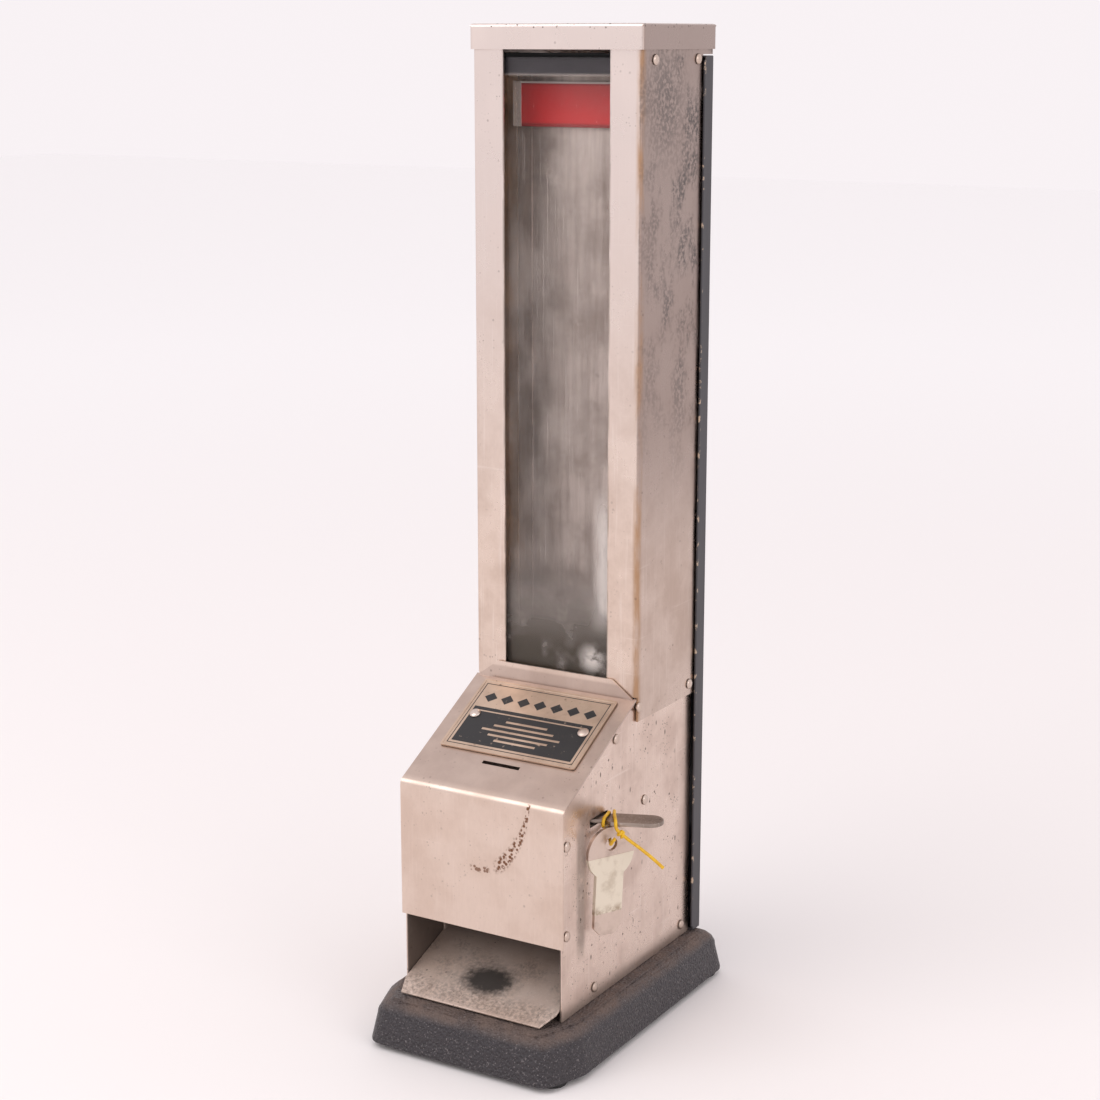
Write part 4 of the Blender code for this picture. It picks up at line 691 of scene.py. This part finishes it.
@dataclass(frozen=True)
class KeyFinish(Finish):
    """The key's grey nickel or the tape on it, soiled low down."""

    name: str
    clean: Colour
    soiled: Colour
    metallic: float
    roughness: float
    soil_height: float

    def looks(self, g: Graph, place: Socket) -> Values:
        """Values of the shader's inputs."""
        _, _, z = g.axes(place)
        fibre = g.noise(place, 700.0, 5.0)
        low = g.ramp(z, self.soil_height + 0.005, self.soil_height)
        soil = g.product(low, g.ramp(g.noise(place, 260.0, 5.0), 0.35, 0.6))
        blotch = g.ramp(g.noise(place, 130.0, 5.0), 0.48, 0.75)
        colour = g.mix(g.most(soil, g.product(blotch, 0.5)), self.clean, self.soiled)
        return {"Base Color": colour, "Metallic": self.metallic,
                "Roughness": g.ramp(fibre, 0.2, 0.8, self.roughness, self.roughness + 0.15),
                "Normal": g.bump(fibre, 0.0002, 0.5)}


@dataclass(frozen=True)
class PlasticFinish(Finish):
    """Plain plastic or rubber with faint mould marks."""

    name: str
    light: Colour
    dark: Colour
    roughness: float

    def looks(self, g: Graph, place: Socket) -> Values:
        """Values of the shader's inputs."""
        cloud = g.noise(place, 300.0, 4.0)
        return {"Base Color": g.mix(g.ramp(cloud, 0.3, 0.7), self.light, self.dark),
                "Roughness": g.ramp(cloud, 0.2, 0.8, self.roughness, self.roughness + 0.12),
                "Normal": g.bump(g.noise(place, 1400.0), 0.0001, 0.5)}


@dataclass(frozen=True)
class FloorFinish(Finish):
    """Pale studio floor that fades to white far away."""

    name: str = "pale_floor"
    near: Colour = (0.90, 0.87, 0.86)
    far: Colour = (1.0, 1.0, 1.0)

    def looks(self, g: Graph, place: Socket) -> Values:
        """Values of the shader's inputs."""
        fade = g.ramp(g.vector("LENGTH", place), 0.2, 2.6)
        return {"Base Color": g.mix(fade, self.near, self.far), "Roughness": 0.9}


def add_piece(name: str, bm: Shape, material: Material, body: Body, slot: Slot, *nodes: str) -> Piece:
    """Put a bmesh into the scene as a piece of the object.

    Args:
        name: the piece's name.
        bm: its shape, in place; it is freed.
        material: its finish.
        body: the body that it rides on.
        slot: the record's material slot; not used.
        nodes: the CAD nodes that it stands for.

    Returns:
        The new object.
    """
    mesh = bpy.data.meshes.new(name)
    bm.to_mesh(mesh)
    bm.free()
    mesh.materials.append(material)
    mesh.shade_smooth()
    mesh.set_sharp_from_angle(angle=SMOOTH_ANGLE)
    piece = bpy.data.objects.new(name, mesh)
    piece.modifiers.new("flat faces", "WEIGHTED_NORMAL").keep_sharp = True
    bpy.context.scene.collection.objects.link(piece)
    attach(piece, body.value)
    if nodes:
        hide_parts(*nodes)
    LOG.info("%s: %d faces", name, len(mesh.polygons))
    return piece


def node_copy(node: str) -> Shape:
    """A merged copy of a CAD node's mesh, with its flat faces made whole."""
    bm = bmesh.new()
    bm.from_mesh(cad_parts[node].data)
    bmesh.ops.remove_doubles(bm, verts=bm.verts, dist=MERGE)
    bmesh.ops.dissolve_limit(bm, angle_limit=FLAT_ANGLE, verts=bm.verts, edges=bm.edges)
    return bm


def round_edges(bm: Shape, radius: float, segments: int, chosen: EdgeTest | None = None,
                angle: float = SHARP_ANGLE) -> None:
    """Round the sharp edges of a shape.

    Args:
        bm: the shape.
        radius: how far the rounding reaches.
        segments: steps of the rounding.
        chosen: says which of the sharp edges are rounded; all of them if not given.
        angle: how sharply faces meet for an edge to count.
    """
    edges = [e for e in bm.edges if len(e.link_faces) == 2 and e.calc_face_angle(0.0) > angle
             and (chosen is None or chosen(e))]
    bmesh.ops.bevel(bm, geom=edges, offset=radius, segments=segments, profile=0.5, affect="EDGES",
                    material=-1, clamp_overlap=True)


def add_copy(name: str, node: str, edge: float, segments: int, material: Material, body: Body,
             slot: Slot) -> Piece:
    """Add a copy of a CAD node with its edges broken, which stands for the node.

    Args:
        name: the piece's name.
        node: the CAD node.
        edge: how far its edges are broken.
        segments: steps of the rounding.
        material: its finish.
        body: the body that it rides on.
        slot: the record's material slot.

    Returns:
        The new object.
    """
    bm = node_copy(node)
    round_edges(bm, edge, segments)
    return add_piece(name, bm, material, body, slot, node)


def turned(profile: Sequence[tuple[float, float]], steps: int) -> Shape:
    """Spin a profile of radius and height about Z into a closed shape."""
    bm = bmesh.new()
    corners = [bm.verts.new((radius, 0.0, height)) for radius, height in profile]
    for first, second in zip(corners, corners[1:]):
        bm.edges.new((first, second))
    bmesh.ops.spin(bm, geom=bm.verts[:] + bm.edges[:], axis=(0, 0, 1), cent=(0, 0, 0), angle=math.tau,
                   steps=steps, use_merge=True)
    bmesh.ops.remove_doubles(bm, verts=bm.verts, dist=MERGE)
    bmesh.ops.recalc_face_normals(bm, faces=bm.faces)
    return bm


@dataclass
class Rivet:
    """Dome-headed rivet."""

    radius: float = 0.0025
    height: float = 0.0012
    shank: float = 0.0013
    grip: float = 0.0012
    steps: int = 28
    dome_steps: int = 7
    undercut: float = 0.96

    def shape(self, place: Matrix) -> Shape:
        """The rivet at its place, with Z outwards and its head's foot at the origin."""
        dome = []
        for i in range(self.dome_steps + 1):
            angle = math.radians(90 * i / self.dome_steps)
            dome.append((self.radius * math.sin(angle), self.height * math.cos(angle)))
        rim = (self.radius * self.undercut, 0.0)
        bm = turned([*dome, rim, (self.shank, 0.0), (self.shank, -self.grip), (0.0, -self.grip)], self.steps)
        bmesh.ops.transform(bm, matrix=place, verts=bm.verts)
        return bm


@dataclass
class Shell:
    """Sheet-metal body: side walls, hood, tower, cap and all their rivets."""

    bend: float = 0.0018
    knee: float = 0.0020
    bend_steps: int = 6
    edge: float = 0.00025
    edge_steps: int = 2
    tower_upright: float = 0.05
    cap_upright: float = 0.004
    rivets_a_side: int = 10
    rivet: Rivet = field(default_factory=Rivet)

    def build(self) -> None:
        """Make and dress every piece of the body."""
        hood = NickelFinish("hood_nickel", dull=(0.69, 0.545, 0.46), roughness=0.33, pitting=0.4,
                            scratching=0.10, foot=0.04, stains_and_shade=(front_rust,), tints=(slope_darkening,))
        wall = NickelFinish("wall_nickel", bright=(0.80, 0.65, 0.565), dull=(0.63, 0.49, 0.42), pitting=1.0,
                            grime_reach=0.012,
                            stains_and_shade=(opening_rust, painted_shadow_band, wall_dents, inner_face_shade)).material()
        tower = NickelFinish("tower_nickel", pitting=0.45, tints=(painted_top_light, painted_wall_shade),
                             stains_and_shade=(window_edge_grime_and_shade, corner_rust, tower_mottle))
        cap = NickelFinish("cap_nickel", stains_and_shade=(cap_specks,), tints=(painted_top_light, painted_cap_shade))
        self.sheet("hood_panel", hood.material(), self.is_hood_bend, self.knee)
        self.sheet("side_plate_right", wall)
        self.sheet("side_plate_left", wall)
        self.sheet("tower_shell", tower.material(), self.is_tower_corner, self.bend)
        self.sheet("cap", cap.material(), self.is_cap_corner, self.bend)
        self.side_rivets(NickelFinish("rivet_nickel", bright=(0.66, 0.54, 0.465), pitting=0.8).material())

    def sheet(self, node: str, material: Material, bends: EdgeTest | None = None,
              radius: float = 0.0) -> None:
        """Dress one sheet: round its bends, then break its other edges.

        Args:
            node: the CAD node that the sheet stands for.
            material: its finish.
            bends: says which edges are bends.
            radius: how far a bend's rounding reaches.
        """
        bm = node_copy(node)
        if bends:
            round_edges(bm, radius, self.bend_steps, bends, BEND_ANGLE)
        round_edges(bm, self.edge, self.edge_steps)
        add_piece("nickel_" + node, bm, material, Body.FIXED, Slot.NICKEL, node)

    def is_hood_bend(self, edge: Edge) -> bool:
        """The hood's outer knee, across its whole width."""
        ends = [corner.co for corner in edge.verts]
        return all(abs(p.z - KNEE_HEIGHT) < NEAR and abs(p.y - HOOD_LOW.y) < NEAR for p in ends)

    def is_tower_corner(self, edge: Edge) -> bool:
        """The tower's outer front corners."""
        ends = [corner.co for corner in edge.verts]
        upright = abs(ends[0].z - ends[1].z) > self.tower_upright
        outer = all(abs(abs(p.x - MIDDLE_X) - (TOWER_HIGH.x - MIDDLE_X)) < NEAR for p in ends)
        return upright and outer and all(abs(p.y - TOWER_LOW.y) < NEAR for p in ends)

    def is_cap_corner(self, edge: Edge) -> bool:
        """The cap's outer upright corners."""
        low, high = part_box("cap")
        ends = [corner.co for corner in edge.verts]
        upright = abs(ends[0].z - ends[1].z) > self.cap_upright
        return upright and all(min(p.x - low.x, high.x - p.x) < NEAR for p in ends)

    def side_rivets(self, material: Material) -> None:
        """Rivets of both side walls, each on its CAD node's place."""
        for side, word in ((1, "right"), (-1, "left")):
            turn = Matrix.Rotation(side * math.pi / 2, 4, "Y")
            for number in range(1, self.rivets_a_side + 1):
                node = f"side_rivet_{word}_{number}"
                low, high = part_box(node)
                outer = high.x if side > 0 else low.x
                spot = Vector((outer - side * self.rivet.height, (low.y + high.y) / 2, (low.z + high.z) / 2))
                bm = self.rivet.shape(Matrix.Translation(spot) @ turn)
                add_piece("dome_" + node, bm, material, Body.FIXED, Slot.NICKEL, node)


@dataclass
class SlopePlate:
    """Instruction plate on the slope with its two rivets."""

    half_width: float = 0.037
    rise: float = 0.0257
    length: float = 0.04666
    lift: float = 0.0003
    thickness: float = 0.0008
    corner: float = 0.0012
    rim: float = 0.0011
    rim_height: float = 0.0003
    rivet_spacing: float = 0.060

    def build(self) -> None:
        """Make the plate with its raised rim, and the rivets."""
        middle = self.rise + self.length / 2
        size = Matrix.Diagonal((2 * self.half_width, self.length, self.thickness, 1.0))
        place = SLOPE_FRAME @ Matrix.Translation((0, middle, self.lift + self.thickness / 2))
        bm = bmesh.new()
        bmesh.ops.create_cube(bm, size=1.0, matrix=size)
        upright = [e for e in bm.edges if abs(e.verts[0].co.z - e.verts[1].co.z) > self.thickness / 2]
        bmesh.ops.bevel(bm, geom=upright, offset=self.corner, segments=4, profile=0.5, affect="EDGES",
                        material=-1)
        bm.normal_update()
        top = [f for f in bm.faces if f.normal.z > 0.9]
        bmesh.ops.inset_region(bm, faces=top, thickness=self.rim, depth=0.0)
        bmesh.ops.inset_region(bm, faces=top, thickness=self.rim_height, depth=-self.rim_height)
        bmesh.ops.transform(bm, matrix=place, verts=bm.verts)
        finish = EtchedPlateFinish(half_width=self.half_width, half_length=self.length / 2, middle=middle)
        add_piece("slope_plate", bm, finish.material(), Body.FIXED, Slot.ETCHED, "instruction_plate")
        steel = NickelFinish("plate_rivet_nickel", bright=(0.70, 0.60, 0.54), pitting=0.4).material()
        head = Rivet(radius=0.0028, height=0.0010)
        for number, x in enumerate((self.rivet_spacing / 2, -self.rivet_spacing / 2), 1):
            spot = SLOPE_FRAME @ Matrix.Translation((x, middle, self.lift + self.thickness))
            add_piece(f"dome_plate_rivet_{number}", head.shape(spot), steel, Body.FIXED, Slot.STEEL,
                      f"plate_rivet_{number}")


@dataclass
class Window:
    """Glass, the dirt and the painted light on it, and what shows behind it."""

    edge: float = 0.0003
    card_edge: float = 0.0002
    film: float = 0.0001
    film_gap: float = 0.0003
    film_sides: float = 0.008
    film_ends: float = 0.001

    def build(self) -> None:
        """Make the glass, the film behind it and the card."""
        glass, card = GlassFinish().material(), CardFinish().material()
        add_copy("clear_window", "window_glass", self.edge, 2, glass, Body.FIXED, Slot.GLASS)
        back = GLASS_HIGH.y + self.film_gap
        low = Vector((GLASS_LOW.x + self.film_sides, back, GLASS_LOW.z + self.film_ends))
        high = Vector((GLASS_HIGH.x - self.film_sides, back + self.film, GLASS_HIGH.z - self.film_ends))
        bm = bmesh.new()
        size = Matrix.Diagonal((*(high - low), 1.0))
        bmesh.ops.create_cube(bm, size=1.0, matrix=Matrix.Translation((low + high) / 2) @ size)
        add_piece("window_haze_and_light", bm, HazeAndLightFinish().material(), Body.FIXED, Slot.GLASS)
        add_copy("blank_card", "display_card", self.card_edge, 2, card, Body.FIXED, Slot.CARD)


@dataclass
class Chute:
    """Sloping floor that the sticks slide down."""

    edge: float = 0.0003

    def build(self) -> None:
        """Dress the floor."""
        worn = NickelFinish("chute_nickel", metallic=0.4, roughness=0.42, pitting=0.8, foot=0.0,
                            stains_and_shade=(chute_grit_and_shade, chute_soot)).material()
        add_copy("worn_chute_floor", "chute_floor", self.edge, 2, worn, Body.FIXED, Slot.NICKEL)


@dataclass
class Base:
    """Cast base and its feet."""

    edge: float = 0.0007
    foot_edge: float = 0.0006
    feet: int = 4

    def build(self) -> None:
        """Dress the casting and the feet."""
        paint = CrackleFinish().material()
        add_copy("crinkled_base", "base_casting", self.edge, 3, paint, Body.FIXED, Slot.CRACKLE)
        rubber = PlasticFinish("foot_rubber", (0.026, 0.025, 0.025), (0.014, 0.013, 0.013), 0.62).material()
        for number in range(1, self.feet + 1):
            node = f"foot_{number}"
            add_copy("round_" + node, node, self.foot_edge, 3, rubber, Body.FIXED, Slot.RUBBER)


# Route of the tie in the lever's own frame, in millimetres: along it, across it and up from its underside
TIE_ROUTE: tuple[Point, ...] = (
    (1.0, -9.2, -4.8), (-0.2, -9.0, -6.4), (-1.2, -7.2, -8.4), (-1.75, -4.5, -9.0),
    (-2.3, -1.5, -8.4), (-3.0, 2.0, -6.4), (-3.7, 4.8, -3.8), (-3.7, 6.2, -1.0),
    (-3.5, 6.1, 1.4), (-3.5, 4.4, 3.0), (-3.8, 1.5, 3.2), (-4.4, -2.0, 3.2),
    (-4.9, -4.2, 2.7), (-5.2, -4.7, 0.6), (-5.2, -4.2, -1.0), (-4.3, -1.5, -1.4),
    (-3.0, 1.5, -1.5), (-1.8, 5.0, -1.5), (-1.3, 7.2, -1.0), (-1.25, 7.5, 1.0),
    (-1.2, 6.6, 2.9), (-1.0, 4.0, 3.2), (-0.5, 0.5, 3.2), (0.1, -3.0, 3.2),
    (0.8, -6.6, 2.9), (1.0, -7.5, 1.0), (1.4, -7.8, -0.6), (2.6, -8.4, -1.9),
    (3.7, -8.5, -2.7), (5.2, -8.3, -3.9), (7.6, -7.9, -6.0), (12.0, -7.4, -9.4),
    (17.6, -6.9, -14.0), (23.1, -6.4, -19.1),
)


@dataclass
class LeverAndKey:
    """Pull lever, the key that hangs from it and the yellow tie."""

    lever_edge: float = 0.0005
    key_edge: float = 0.0003
    tie_place: Point = (0.042893, -0.022569, 0.1129)
    lean: float = math.radians(23.0)
    tie_radius: float = 0.0008
    steps: int = 4
    knot_point: int = 28
    knot_radius: float = 0.0012
    knot_squeeze: float = 0.92
    knot_sides: int = 10
    knot_steps: int = 18
    knot_turns: tuple[tuple[float, float], ...] = ((-0.0007, 14), (0.0007, -16))
    tape_thickness: float = 0.00018
    tape_top: float = 0.098
    tape_bottom: float = 0.0705

    def build(self) -> None:
        """Make the lever, the key, its tape and the tie."""
        worn = NickelFinish("lever_nickel", bright=(0.36, 0.30, 0.26), dull=(0.20, 0.16, 0.135),
                            roughness=0.42, pitting=1.0).material()
        add_copy("worn_lever", "lever", self.lever_edge, 3, worn, Body.LEVER, Slot.NICKEL)
        grey = KeyFinish("key_nickel", (0.64, 0.52, 0.45), (0.30, 0.225, 0.185), 0.95, 0.36, 0.055)
        key = add_copy("flat_key", "key", self.key_edge, 2, grey.material(), Body.KEY, Slot.STEEL)
        self.tie([key, self.tape()])

    def tape(self) -> Piece:
        """Cream tape wrapped round the key's lower bow and shank, as a skin over the key."""
        bm = node_copy("key")
        for height, side in ((self.tape_top, 1), (self.tape_bottom, -1)):
            everything = bm.verts[:] + bm.edges[:] + bm.faces[:]
            bmesh.ops.bisect_plane(bm, geom=everything, plane_co=(0, 0, height), plane_no=(0, 0, side),
                                   clear_outer=True)
            rim = [e for e in bm.edges if e.is_boundary]
            bmesh.ops.holes_fill(bm, edges=rim, sides=0)
        bmesh.ops.recalc_face_normals(bm, faces=bm.faces)
        bm.normal_update()
        for corner in bm.verts:
            corner.co += corner.normal * self.tape_thickness
        finish = KeyFinish("cream_tape", (0.72, 0.64, 0.52), (0.34, 0.25, 0.17), 0.0, 0.58, self.tape_bottom)
        return add_piece("key_tape", bm, finish.material(), Body.KEY, Slot.STEEL)

    def route(self) -> list[Vector]:
        """Points of a smooth curve through the tie's route, in the row frame."""
        place = Matrix.Translation(self.tie_place) @ Matrix.Rotation(self.lean, 4, "Z")
        points = [place @ (Vector(point) * MM) for point in TIE_ROUTE]
        ends = [points[0] * 2 - points[1]] + points + [points[-1] * 2 - points[-2]]
        curve = []
        for p0, p1, p2, p3 in zip(ends, ends[1:], ends[2:], ends[3:]):
            for i in range(self.steps):
                t = i / self.steps
                near = p1 * 2 + (p2 - p0) * t
                far = (p0 * 2 - p1 * 5 + p2 * 4 - p3) * t**2 + (p1 * 3 - p0 - p2 * 3 + p3) * t**3
                curve.append((near + far) / 2)
        return curve + [points[-1]]

    def tie(self, hung: list[Piece]) -> None:
        """The tie as a cord of its real length, and its knot.

        Args:
            hung: the pieces that hang on the tie; not used.
        """
        points = self.route()
        yellow = PlasticFinish("yellow_tie", (0.82, 0.50, 0.012), (0.66, 0.36, 0.008), 0.32).material()
        curve = bpy.data.curves.new("yellow_tie", "CURVE")
        curve.dimensions = "3D"
        curve.bevel_depth = self.tie_radius
        curve.bevel_resolution = 4
        curve.use_fill_caps = True
        spline = curve.splines.new("POLY")
        spline.points.add(len(points) - 1)
        for point, spot in zip(spline.points, points):
            point.co = (*spot, 1.0)
        curve.materials.append(yellow)
        cord = bpy.data.objects.new("yellow_tie", curve)
        bpy.context.scene.collection.objects.link(cord)
        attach(cord, Body.LEVER.value)
        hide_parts("key_tie")
        knot = self.knot(points, yellow)

    def knot(self, points: list[Vector], material: Material) -> Piece:
        """Two turns of the tie drawn tight round its tail."""
        middle = points[self.knot_point * self.steps]
        run = (points[self.knot_point * self.steps + 2] - middle).normalized()
        bm = bmesh.new()
        heading = run.to_track_quat("Z", "Y").to_matrix().to_4x4()
        for shift, tilt in self.knot_turns:
            turn = heading @ Matrix.Rotation(math.radians(tilt), 4, "X")
            place = Matrix.Translation(middle + run * shift) @ turn
            rim = place @ Matrix.Translation((self.knot_radius, 0, 0)) @ Matrix.Rotation(math.pi / 2, 4, "X")
            ring = bmesh.ops.create_circle(bm, cap_ends=False, segments=self.knot_sides,
                                           radius=self.tie_radius * self.knot_squeeze, matrix=rim)["verts"]
            edges = list(dict.fromkeys(e for v in ring for e in v.link_edges))
            axis = place.to_3x3() @ Vector((0, 0, 1))
            bmesh.ops.spin(bm, geom=ring + edges, axis=axis, cent=place.translation, angle=math.tau,
                           steps=self.knot_steps, use_merge=True)
        bmesh.ops.remove_doubles(bm, verts=bm.verts, dist=MERGE)
        bmesh.ops.recalc_face_normals(bm, faces=bm.faces)
        return add_piece("tie_knot", bm, material, Body.LEVER, Slot.TIE)


@dataclass
class Door:
    """Rear door."""

    edge: float = 0.0005

    def build(self) -> None:
        """Dress the door."""
        paint = EnamelFinish().material()
        add_copy("enamelled_door", "back_door", self.edge, 3, paint, Body.DOOR, Slot.ENAMEL)


@dataclass
class InnerWorks:
    """Pieces inside the case and on the door that keep their CAD shape."""

    guides: tuple[str, ...] = ("guide_right", "guide_left")
    galvanised: tuple[str, ...] = ("magazine_back", "coin_chute", "mechanism_plate", "cash_box",
                                   "runner_right", "runner_left")
    steel: tuple[str, ...] = ("gum_slide", "pivot_post", "pivot_nut", "return_spring", "hinge_leaf_body",
                              "hinge_leaf_door", "hinge_pin", "lock_cam")
    brass: tuple[str, ...] = ("lock_barrel", "lock_plug")

    def build(self) -> None:
        """Give each node its finish."""
        finishes = (
            (self.galvanised, SheetFinish("galvanised_sheet", (0.66, 0.56, 0.525), (0.34, 0.27, 0.24))),
            (self.guides, SheetFinish("guide_strip", (0.52, 0.38, 0.27), (0.25, 0.165, 0.10), 0.38)),
            (self.steel, SheetFinish("bright_steel", (0.46, 0.43, 0.41), (0.28, 0.25, 0.235), 0.32)),
            (self.brass, SheetFinish("aged_brass", (0.55, 0.38, 0.15), (0.30, 0.20, 0.08), 0.30, PLAIN)),
        )
        for names, finish in finishes:
            material = finish.material()
            for name in names:
                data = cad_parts[name].data
                data.materials.clear()
                data.materials.append(material)
                LOG.info("%s: %s", name, finish.name)


@dataclass
class Studio:
    """Camera, pale floor and soft light."""

    camera_place: Point = (0.512198, -0.8655, 0.4674)
    camera_turn: Point = (math.radians(76.87), 0.0, math.radians(30.91))
    lens: float = 71.87
    sensor: float = 36.0
    floor_half: float = 6.0
    aim: Point = (0, 0, 0.22)
    world_colour: Colour = (0.945, 0.890, 0.910)
    world_dim: float = 0.98

    def build(self) -> None:
        """Make the camera, the lamps, the world and the floor."""
        scene = bpy.context.scene
        scene.view_settings.view_transform = "Standard"
        data = bpy.data.cameras.new("camera")
        data.lens = self.lens
        data.sensor_width = self.sensor
        camera = bpy.data.objects.new("camera", data)
        camera.location = self.camera_place
        camera.rotation_euler = self.camera_turn
        scene.collection.objects.link(camera)
        scene.camera = camera
        self.lamp("key_light", (-0.65, -1.05, 1.45), size=1.3, power=8.5)
        self.lamp("fill_light", (1.5, -0.5, 0.9), size=1.0, power=4.0)
        self.world()
        self.floor()

    def lamp(self, name: str, place: Point, size: float, power: float) -> None:
        """A square soft lamp that faces the object."""
        data = bpy.data.lights.new(name, "AREA")
        data.size = size
        data.energy = power
        lamp = bpy.data.objects.new(name, data)
        lamp.location = place
        lamp.rotation_euler = (Vector(self.aim) - Vector(place)).to_track_quat("-Z", "Y").to_euler()
        bpy.context.scene.collection.objects.link(lamp)

    def world(self) -> None:
        """A pale world: white to the eye and in reflections, dimmer as light."""
        world = bpy.data.worlds.new("studio")
        bpy.context.scene.world = world
        world.use_nodes = True
        g = Graph(world.node_tree)
        path = g.node("LightPath").outputs
        seen = g.most(path["Is Camera Ray"], path["Is Glossy Ray"], path["Is Transmission Ray"])
        background = world.node_tree.nodes["Background"]
        g.feed(background.inputs["Color"], self.world_colour)
        g.feed(background.inputs["Strength"], g.ramp(seen, 0.0, 1.0, self.world_dim, 1.0))

    def floor(self) -> None:
        """A wide pale floor that takes the object's shadow."""
        bm = bmesh.new()
        bmesh.ops.create_grid(bm, x_segments=1, y_segments=1, size=self.floor_half)
        mesh = bpy.data.meshes.new("floor")
        bm.to_mesh(mesh)
        bm.free()
        mesh.materials.append(FloorFinish().material())
        floor = bpy.data.objects.new("floor", mesh)
        bpy.context.scene.collection.objects.link(floor)


def main() -> None:
    """Build the studio and every sub-assembly."""
    logging.basicConfig(level=logging.INFO, format="%(name)s: %(message)s")
    parts = (Studio(), LeverAndKey(), Base(), Shell(), SlopePlate(), Window(), Chute(), Door(), InnerWorks())
    for part in parts:
        part.build()


if __name__ == "__main__":
    main()
